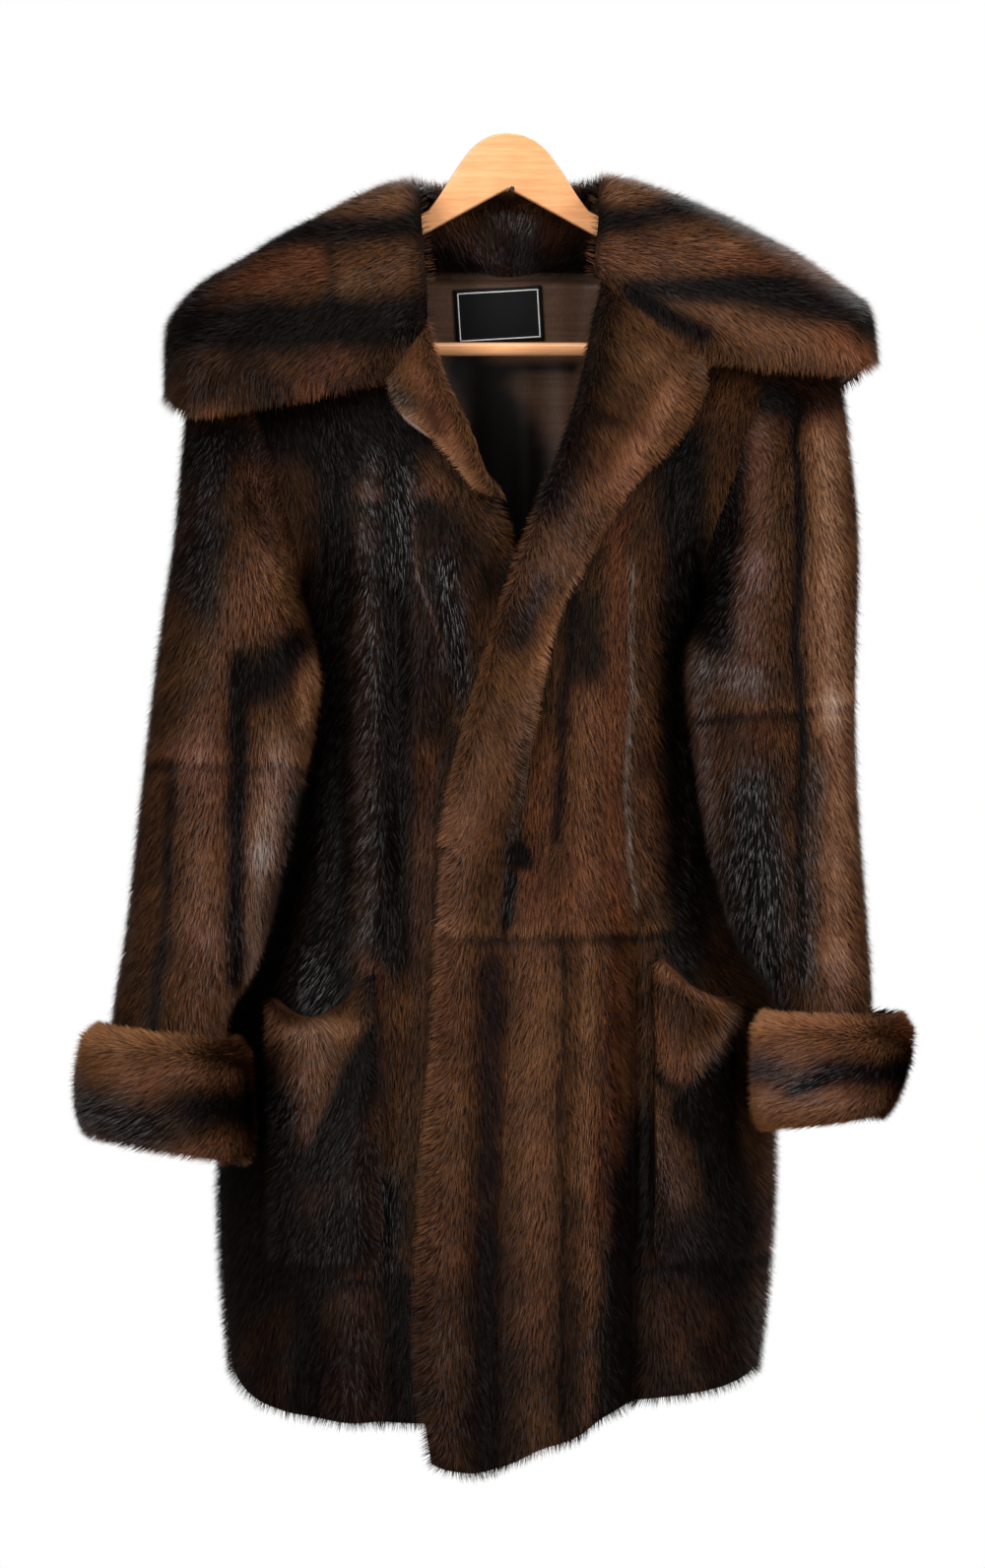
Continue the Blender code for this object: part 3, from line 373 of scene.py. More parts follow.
def torso(face, start, edge, hem, fold_table, across, level):
    """Points of a body panel, a row for each level and a column for each step across.

    face is -1 for the front and 1 for the back. across runs 0..1 from the side seam named by
    start to the line edge(z); level runs 0..1 down the armhole and 1..2 on to the hem. The two
    ends are always worked out, since each row hangs between them.
    """
    across, level = np.meshgrid(np.concatenate([[0], across, [1]]), level)
    turn = np.clip(level, 0, 1)
    below = np.clip(level - 1, 0, 1)
    fall = (1 - np.cos(math.pi * turn)) / 2

    # Heights: down from the shoulder seam and the neckline, then on to the hem.
    tip = TIP_X if start == "left" else -TIP_X
    inner_end = -tip if face > 0 else math.copysign(NECK_X, tip)
    x_top = np.abs(tip + (inner_end - tip) * across)
    beside_neck = np.clip(x_top / NECK_X, 0, 1)
    slope = (TIP_Z - NECK_Z) / (TIP_X - NECK_X)
    z_top = NECK_Z + (np.maximum(x_top, NECK_X) - NECK_X) * slope
    if face > 0:
        z_top = z_top + (NECKLINE_Z - NECK_Z) * (1 - beside_neck**2)
    z = z_top + (UNDERARM_Z - z_top) * fall - 600 * below
    for _ in range(4):
        x_side = side_x(start, z[:, :1])
        x = x_side + (edge(z) - x_side) * across
        to_hem = UNDERARM_Z + (smooth(hem["x"], hem["z"], x) - UNDERARM_Z) * below
        z = np.where(level > 1, to_hem, z)
    x_side = side_x(start, z[:, :1])
    edge_x = np.where(level > 1, edge(z), edge(z[:, -1:]))
    x = x_side + (edge_x - x_side) * across

    # Depths: each row is part of an oval that runs through the armhole or the side seam.
    centre = np.where(level > 1, by_height(SIDE, "side_y", z[:, :1]), UNDERARM_Y * fall)
    column = "front_y" if face < 0 else "back_y"
    middle = smooth(YOKE["turn"], YOKE[column], turn)
    if face > 0:
        neck = smooth(YOKE["turn"], YOKE["neck_y"], turn)
        middle = neck + (middle - neck) * beside_neck**10
    middle = np.where(level > 1, by_height(SIDE, column, z), middle)
    armhole_y = centre + face * ARMHOLE_DEPTH * np.sin(math.pi * turn)
    depth = np.maximum(face * (middle[:, :1] - centre), 1e-6)
    cut = np.clip(face * (armhole_y - centre) / depth, 0, 0.94)
    oval = (1 - cut**SIDE_POWER) ** (1 / SIDE_POWER)
    half = np.where(x > 0, side_x("left", z[:, :1]), -side_x("right", z[:, :1]))
    if face < 0:
        half = np.abs(x_side)
    reach = np.clip(np.abs(x) / half * oval, 0, 1)
    bulge = (1 - reach**SIDE_POWER) ** (1 / SIDE_POWER)
    y = centre + (middle - centre) * bulge
    beside = np.minimum(across, 1 - across) if face > 0 else across
    miss = armhole_y - (centre + (middle[:, :1] - centre) * (1 - oval**SIDE_POWER) ** (1 / SIDE_POWER))
    y = y + miss * np.clip(1 - beside / 0.3, 0, 1) ** 2 + face * SEAM_GAP / 2
    y = y + face * folds(fold_table, x, z) * step(0, 0.4, bulge)
    return np.stack([x, y, z], axis=2)[:, 1:-1]


def left_edge(z):
    return smooth(LEFT_EDGE["z"], LEFT_EDGE["x"], z)


def right_edge(z):
    return smooth(RIGHT_EDGE["z"], RIGHT_EDGE["x"], z)


def front_left(across, level):
    return torso(-1, "left", left_edge, LEFT_HEM, FRONT_FOLDS, across, level)


def front_right(across, level):
    """The under front, sunk behind the upper one where they overlap."""
    points = torso(-1, "right", right_edge, RIGHT_HEM, FRONT_FOLDS, across, level)
    past_edge = points[..., 0] - left_edge(points[..., 2])
    points[..., 1] += OVERLAP_TUCK * step(-TUCK_START, -TUCK_END, past_edge)
    return points


def left_side(z):
    return side_x("left", z)


def back(across, level):
    return torso(1, "right", left_side, BACK_HEM, BACK_FOLDS, across, level)


def unfolded_back(across, level):
    return torso(1, "right", left_side, BACK_HEM, (), across, level)


def torso_normals(points, sign, both_sides):
    """Normals of a body panel; at a seam they lie in the plane that its neighbour shares."""
    normal = normals(points) * sign
    columns = (0, -1) if both_sides else (0,)
    for column in columns:
        hand = "left" if points[0, column, 0] > 0 else "right"
        side = 1 if hand == "left" else -1
        upper = np.array([side * TIP_X, 0.0, TIP_Z])
        lower = np.array([SIDE[hand + "_x"][0], 0.0, UNDERARM_Z])
        along = upper - lower
        length = np.linalg.norm(along)
        rise = (points[:, column, 2] - UNDERARM_Z) / (TIP_Z - UNDERARM_Z)
        cosine = np.clip(2 * rise - 1, -1, 1)
        sine = np.sqrt(1 - cosine**2) * (-1 if points[1, column, 1] < 0 else 1)
        ring = np.outer(cosine * 2 / length, along / length)
        ring[:, 1] = sine / ARMHOLE_DEPTH
        tangent = np.gradient(points[:, column], axis=0) * (1, 0, 1)
        seam = unit(np.cross(tangent, (0, side, 0)))
        normal[:, column] = unit(np.where((rise > -1e-6)[:, None], ring, seam))
        near = 1 if column == 0 else -2
        normal[:, near] = unit(0.65 * normal[:, near] + 0.35 * normal[:, column])
    across_shoulder = unit(normal[0] * (1, 0, 1))
    level_neck = unit(normal[0] * (1, 1, 0))
    beside_neck = step(0.77, 1, np.abs(points[0, :, 0]) / NECK_X)[:, None]
    top = unit(level_neck + (across_shoulder - level_neck) * beside_neck)
    keep_ends = slice(1, -1) if both_sides else slice(1, None)
    normal[0, keep_ends] = top[keep_ends]
    return normal


def on_panel(panel, x, z, sign):
    """Points and outward normals of a panel where it has the given x and z."""
    grid = panel(np.linspace(0, 1, 150), np.linspace(0, 2, 240))
    grid_normals = (normals(grid) * sign).reshape(-1, 3)
    grid = grid.reshape(-1, 3)
    miss = (grid[:, 0] - x[..., None]) ** 2 + (grid[:, 2] - z[..., None]) ** 2
    nearest = np.argmin(miss, axis=-1)
    normal = grid_normals[nearest]
    past = np.stack([x, 0 * x, z], axis=-1) - grid[nearest] * (1, 0, 1)
    y = grid[nearest][..., 1] - np.sum(past * normal, axis=-1) / normal[..., 1]
    return np.stack([x, y, z], axis=-1), normal


def sleeve(table, turn, level):
    """Points of a sleeve or cuff: turn 0..1 round each ring, level 0..1 down the rings."""
    turn, level = np.meshgrid(turn, level)
    ring = np.linspace(0, 1, len(table["depth"]))
    row = {name: smooth(ring, table[name], level) for name in table}
    angle = 2 * math.pi * turn
    x = (row["outer_x"] + row["inner_x"]) / 2 + (row["outer_x"] - row["inner_x"]) / 2 * np.cos(angle)
    z = (row["outer_z"] + row["inner_z"]) / 2 + (row["outer_z"] - row["inner_z"]) / 2 * np.cos(angle)
    y = row["mid_y"] - row["depth"] * np.sin(angle)
    armhole = np.clip(1 - level * (len(table["depth"]) - 1), 0, 1) if len(table["depth"]) > 4 else 0
    y = y - armhole * UNDERARM_Y / 2 * np.cos(angle)
    return np.stack([x, y, z], axis=2)


def creased(points, normal, turn):
    """A sleeve's points with its creases pressed in along the normals."""
    height = np.zeros(points.shape[:2])
    for fold in SLEEVE_FOLDS:
        along = np.clip((points[..., 2] - fold["z_top"]) / (fold["z_low"] - fold["z_top"]), 0, 1)
        centre = fold["turn_top"] + (fold["turn_low"] - fold["turn_top"]) * along
        fade = step(fold["z_top"] + 40, fold["z_top"] - 40, points[..., 2])
        fade = fade * step(fold["z_low"] - 40, fold["z_low"] + 40, points[..., 2])
        height += fold["height"] * fade * np.exp(-((turn[None, :] - centre) / fold["width"]) ** 2)
    return points + normal * height[..., None]


def collar_fall(station, fall):
    """Points of the collar: station 0..1 round the neck, fall -1..0 round the turn, 0..1 down."""
    station, fall = np.meshgrid(station, fall)
    place = np.linspace(0, 1, len(COLLAR["neck_x"]))
    row = {name: smooth(place, COLLAR[name], station) for name in COLLAR}
    neck = np.stack([row["neck_x"], row["neck_y"], row["neck_z"]], axis=2)
    edge = np.stack([row["edge_x"], row["edge_y"], row["edge_z"]], axis=2)
    arch = row["arch"][..., None]
    aim = np.radians(row["aim"])
    outward = np.stack([-np.cos(aim), np.sin(aim), 0 * aim], axis=2)
    outward = unit(outward * arch + unit(edge - neck) * (1 - arch))
    lead = row["lead"][..., None]
    bend = np.radians(np.maximum(row["bend"][..., None], 0.5))

    def before(angle):
        """How far out and up the collar has come when it still has this angle to turn."""
        return lead / bend * (outward * np.sin(angle) + np.array([0, 0, 1]) * (1 - np.cos(angle)))

    start = neck + before(bend)
    turning = start - before(np.clip(-fall, 0, 1)[..., None] * bend)
    down = np.clip(fall, 0, 1)[..., None]
    points = start + (edge - start) * down
    arc = 0.69 * down**1.3 + 0.31 * down**COLLAR_DROP
    arched = start[..., 2:] + (edge - start)[..., 2:] * arc
    points[..., 2:] += (arched - points[..., 2:]) * arch
    return np.where(fall[..., None] < 0, turning, points)


# ---------------------------------------------------------------- cloth, as grids of points
def body_cloth(panel, sign, both_sides, columns, end=1.0):
    """A body panel, its columns running from a side seam to this share of its width."""
    skirt = np.linspace(1, HEM_LEVEL, SKIRT_ROWS)[1:]
    level = np.concatenate([np.linspace(0, 1, ARMHOLE_ROWS), skirt])
    points = panel(np.linspace(0, end, columns), level)
    normal = torso_normals(points, sign, both_sides)
    outer = np.abs(points[..., 0] - CAMERA_X)
    outer = (outer / outer.max(axis=1, keepdims=True)) ** SWELL_POWER
    for swell in SIDE_SWELLS:
        near = np.exp(-((points[..., 2] - swell["z"]) / swell["reach"]) ** 2) * outer
        points[..., 0] += np.sign(points[..., 0] - CAMERA_X) * swell["out"] * near
    for edge, next_in in ((0, 1), (-1, -2)) if both_sides else ((0, 1),):
        points[:, edge] += SEAM_COVER * unit(points[:, edge] - points[:, next_in])
    return points, normal


def sleeve_cloth(hand):
    """A sleeve's tube with its creases."""
    table = LEFT_SLEEVE if hand == "left" else RIGHT_SLEEVE
    sign = 1 if hand == "left" else -1
    turn = np.arange(SLEEVE_COLUMNS) / SLEEVE_COLUMNS
    points = sleeve(table, turn, np.linspace(0, SLEEVE_END, SLEEVE_ROWS))
    normal = normals(points, wrap=True) * sign
    return creased(points, normal, turn), normal


def cuff_cloth(hand):
    """A turned-back cuff, its two edges rounded in."""
    table = LEFT_CUFF if hand == "left" else RIGHT_CUFF
    sign = 1 if hand == "left" else -1
    level = np.linspace(0.0, 1.0, CUFF_ROWS)
    points = sleeve(table, np.arange(SLEEVE_COLUMNS) / SLEEVE_COLUMNS, level)
    normal = -normals(points, wrap=True) * sign
    round_edge = np.where(level > 0.5, CUFF_RIM_IN, CUFF_FOOT_IN) * np.abs(2 * level - 1) ** 5
    return points - normal * round_edge[:, None, None], normal


def collar_cloth():
    """The collar: its turn at the neck, its fall, and the edge that drops from it."""
    hanging = np.linspace(*COLLAR_EDGE, COLLAR_ROWS["edge"]) ** (1 / COLLAR_DROP)
    turning = np.linspace(-1, 0, COLLAR_ROWS["turn"])[:-1]
    falling = np.linspace(0, hanging[0], COLLAR_ROWS["fall"])[:-1]
    fall = np.concatenate([turning, falling, hanging])
    points = collar_fall(np.linspace(COLLAR_SIDE, 1 - COLLAR_SIDE, COLLAR_COLUMNS), fall)
    normal = normals(points)
    for puff in COLLAR_PUFFS:
        away = np.hypot(points[..., 0] - puff["x"], points[..., 2] - puff["z"])
        points = points + normal * (puff["out"] * np.exp(-(away / puff["reach"]) ** 2))[..., None]
    return points, normal


def stand_cloth(collar_points):
    """The stand, from the first row of the collar down to the back neckline."""
    across = np.linspace(-STAND_HALF_WIDTH, STAND_HALF_WIDTH, STAND_COLUMNS)
    first = collar_points[0]
    first = first[first[:, 1] > 5]
    high = np.stack([across] + [np.interp(across, first[:, 0], first[:, i]) for i in (1, 2)], axis=1)
    low = high.copy()
    low[:, 1] = np.interp(np.abs(across), (0, 50, STAND_HALF_WIDTH), (17.5, 17, 15))
    low[:, 2] = FACING_FOOT
    points = np.array([high + (low - high) * t for t in np.linspace(0, 1, STAND_ROWS)])
    away = unit((low - np.array([0, -20.0, 0])) * (1, 1, 0))
    return points, -np.repeat(away[None], STAND_ROWS, axis=0)


def lapel_cloth(table, panel, edge, sign, rows):
    """A lapel, from the roll out to its edge; its lift is its own half thickness."""
    place = np.linspace(0, 1, len(table["thick"]))
    down = np.linspace(0, LAPEL_FOOT, rows)
    row = {column: smooth(place, table[column], down) for column in table}
    across = np.linspace(0, LAPEL_END, LAPEL_COLUMNS)[None, :]
    roll_x = edge(row["roll_z"]) + sign * ROLL_INSET
    x = roll_x[:, None] + (row["outer_x"] - roll_x)[:, None] * across
    z = row["roll_z"][:, None] + (row["outer_z"] - row["roll_z"])[:, None] * across
    base, normal = on_panel(panel, x, z, sign)
    lift = FUR / 2 + LAY_GAP + np.repeat(row["thick"][:, None] / 2, LAPEL_COLUMNS, axis=1)
    if sign > 0:
        lift = lift * step(-540, -440, z) - LAPEL_SINK * step(-500, -540, z)
    return base + normal * lift[..., None], normal


def pocket_cloth(table, panel, sign):
    """A patch pocket with its sagging mouth, and the pouch that gapes forward from the body."""
    across = np.linspace(POCKET_SIDE, 1 - POCKET_SIDE, POCKET_COLUMNS)[None, :]
    down = np.linspace(POCKET_TOP, POCKET_FOOT, POCKET_ROWS)[:, None] ** POCKET_SPACING
    x = table["inner_x"] + (table["outer_x"] - table["inner_x"]) * across + 0 * down
    mouth = table["inner_z"] + (table["outer_z"] - table["inner_z"]) * across
    mouth = mouth - POCKET_SAG_SHARE * table["sag"] * np.sin(math.pi * across) ** 0.8
    z = mouth + (table["foot_z"] - mouth) * down
    base, normal = on_panel(panel, x, z, sign)
    depth = np.clip((z - table["pouch_foot_z"]) / (table["inner_z"] - table["pouch_foot_z"]), 0, 1)
    centre = table["pouch_foot_x"] + (table["pouch_x"] - table["pouch_foot_x"]) * depth
    spread = np.clip(np.abs(x - centre) / (table["pouch_half"] * (0.25 + 0.75 * depth)), 0, 1)
    gape = table["gape"] * depth**0.8 * (0.5 + 0.5 * np.cos(math.pi * spread))
    points = base + normal * (FUR + LAY_GAP + SEAM_GAP)
    points[..., 1] -= gape
    normal = normals(points)
    if normal[POCKET_ROWS // 2, POCKET_COLUMNS // 2, 1] > 0:
        normal = -normal
    return points, normal


# ---------------------------------------------------------------- meshes
def mesh_object(name, vertices, corners, sides, surfaces, spots, face_surface=None):
    """A mesh of faces with the same number of sides; spots are the corners' places on its map."""
    mesh = bpy.data.meshes.new(name)
    count = len(corners) // sides
    mesh.vertices.add(len(vertices))
    mesh.vertices.foreach_set("co", (np.asarray(vertices, np.float32) * MM).ravel())
    mesh.loops.add(len(corners))
    mesh.loops.foreach_set("vertex_index", np.asarray(corners, np.int32))
    mesh.polygons.add(count)
    mesh.polygons.foreach_set("loop_start", np.arange(count, dtype=np.int32) * sides)
    for surface in surfaces:
        mesh.materials.append(surface)
    if face_surface is not None:
        mesh.polygons.foreach_set("material_index", np.asarray(face_surface, np.int32))
    layer = mesh.uv_layers.new(name="OFBake")
    layer.uv.foreach_set("vector", np.asarray(spots, np.float32).ravel())
    mesh.update(calc_edges=True)
    mesh.validate()
    made = bpy.data.objects.new(name, mesh)
    bpy.context.collection.objects.link(made)
    return made


def vertex_values(made, name, values):
    attribute = made.data.attributes.new(name, "FLOAT_VECTOR", "POINT")
    attribute.data.foreach_set("vector", np.asarray(values, np.float32).ravel())


def shell(name, points, normal, out, into, surfaces, wrap=False):
    """A closed skin: its outer face out from the grid, its inner face into it, both in mm."""
    rows, columns = points.shape[:2]
    count = rows * columns
    out = np.broadcast_to(out, (rows, columns))[..., None]
    into = np.broadcast_to(into, (rows, columns))[..., None]
    vertices = np.concatenate([(points + normal * out).reshape(-1, 3),
                               (points - normal * into).reshape(-1, 3)])
    steps = columns if wrap else columns - 1
    r, c = np.meshgrid(np.arange(rows - 1), np.arange(steps), indexing="ij")
    a, b = r * columns + c, r * columns + (c + 1) % columns
    quads = np.stack([a, b, b + columns, a + columns], axis=-1).reshape(-1, 4)
    middle = (rows // 2) * columns + columns // 2
    right, below = vertices[[middle + 1, middle + columns]] - vertices[middle]
    probe = np.cross(right, below)
    flip = np.dot(probe, normal.reshape(-1, 3)[middle]) > 0
    ends = [c[0], b[0]]
    rim = [np.stack([count + ends[0], count + ends[1], ends[1], ends[0]], axis=-1)]
    last = count - columns
    rim.append(np.stack([last + ends[0], last + ends[1], count + last + ends[1],
                         count + last + ends[0]], axis=-1))
    if not wrap:
        side = np.arange(rows - 1) * columns
        rim.append(np.stack([side, side + columns, count + side + columns, count + side], axis=-1))
        side = side + columns - 1
        rim.append(np.stack([count + side, count + side + columns, side + columns, side], axis=-1))
    faces = np.concatenate([quads, count + quads[:, ::-1], *rim])
    if not flip:
        faces = faces[:, ::-1]
    across = (np.arange(columns) + 0.5) / (columns + (1 if wrap else 0))
    down = (np.arange(rows) + 0.5) / rows
    spot = np.stack(np.broadcast_arrays(across[None, :] / 2, down[:, None]), axis=-1).reshape(-1, 2)
    spot = np.concatenate([spot, spot + (0.5, 0)])
    surface = np.zeros(len(faces), int)
    surface[len(quads):2 * len(quads)] = 1
    corner_spots = spot[faces.ravel()]
    if wrap:
        corner_spots = wrapped_spots(corner_spots.reshape(-1, 4, 2), columns)
    made = mesh_object(name, vertices, faces.ravel(), 4, surfaces, corner_spots, surface)
    made.data.shade_smooth()
    return made


def wrapped_spots(spots, columns):
    """Corners of the faces that close a ring, moved past the last column instead of back."""
    span = spots[..., 0].max(axis=1) - spots[..., 0].min(axis=1)
    closing = (span > 0.3)[:, None] & (np.mod(spots[..., 0], 0.5) < 0.25)
    spots = spots.copy()
    spots[..., 0] = np.where(closing, spots[..., 0] + 0.5 * columns / (columns + 1), spots[..., 0])
    return spots.reshape(-1, 2)


# ---------------------------------------------------------------- pelts: tone and lie of the fur
HAIR_LENGTH = 9.6
HIGH_PILE = 1.0                 # how much longer the collar's, cuffs' and lapels' hairs are
HAIR_LENGTHS = (0.8, 0.3)       # the shortest hair's share of that, and what chance adds
HAIR_WIDTH = 0.48
BACK_HAIR_WIDTH = 1.1           # the far sides carry fewer, wider hairs
BACK_DENSITY = 0.45             # and this share of the front's
ROOT_DEPTH = 0.3                # a hair starts this far inside the skin's outer face
HAIR_LEAN = math.radians(25)    # between a hair and the skin
LEAN_SPREAD = math.radians(9)   # which differs by up to this from hair to hair
FAN_LEAN = math.radians(24)     # and grows by this where hair fans over an edge
HAIR_ROLL = math.radians(34)    # how far a blade may turn about itself
WANDER = 0.075                  # how far a hair strays sideways from its neighbours
# The glossy guard hairs are longer, thinner and more upright; a few others stand well out.
GUARD = dict(above=0.80, length=1.16, width=0.85, lean=math.radians(10))
STRAY = dict(below=0.07, lean=math.radians(36))
CLUMP = 3.0                     # hairs within this of each other share a tip
CLUMP_PULL = 0.10
HAIR_ROUNDNESS = 0.4            # how much a blade's own face shows in its shading
HAIR_TEXEL = 0.0012             # a blade's size on the map
PELT_TURN = math.tan(math.radians(7))       # how far hair parts from a pelt's middle
FALL_START, FALL_LENGTH = -220, 740         # the heights over which a pelt's middle slants
ROW_JOIN, UPPER_SLANT = -604, 0.5           # the upper row of pelts ends here, and slants less
CUFF_LIE = (0.9, 0.5)           # how much a cuff's hair runs round it, and down it
LAPEL_LIE = (0.75, 0.9)         # how much a lapel's runs down it, and out to its edge
POCKET_SWIRL = 0.35
END_FADE = 1.4                  # a tone's line fades past its ends over this many widths
# Warmth that all the fur starts from, and the least painted glint.
BASE_WARMTH, BASE_GLINT = 0.24, 0.03
SKIRT_SHADE = dict(start=-740, end=-960, dark=0.16)
BAND_END = dict(start=-400, end=-530)       # where the rolled band takes the front's own tones
JOIN_SHINE, JOIN_SHADE = 0.06, 0.14         # above and below a join of two rows
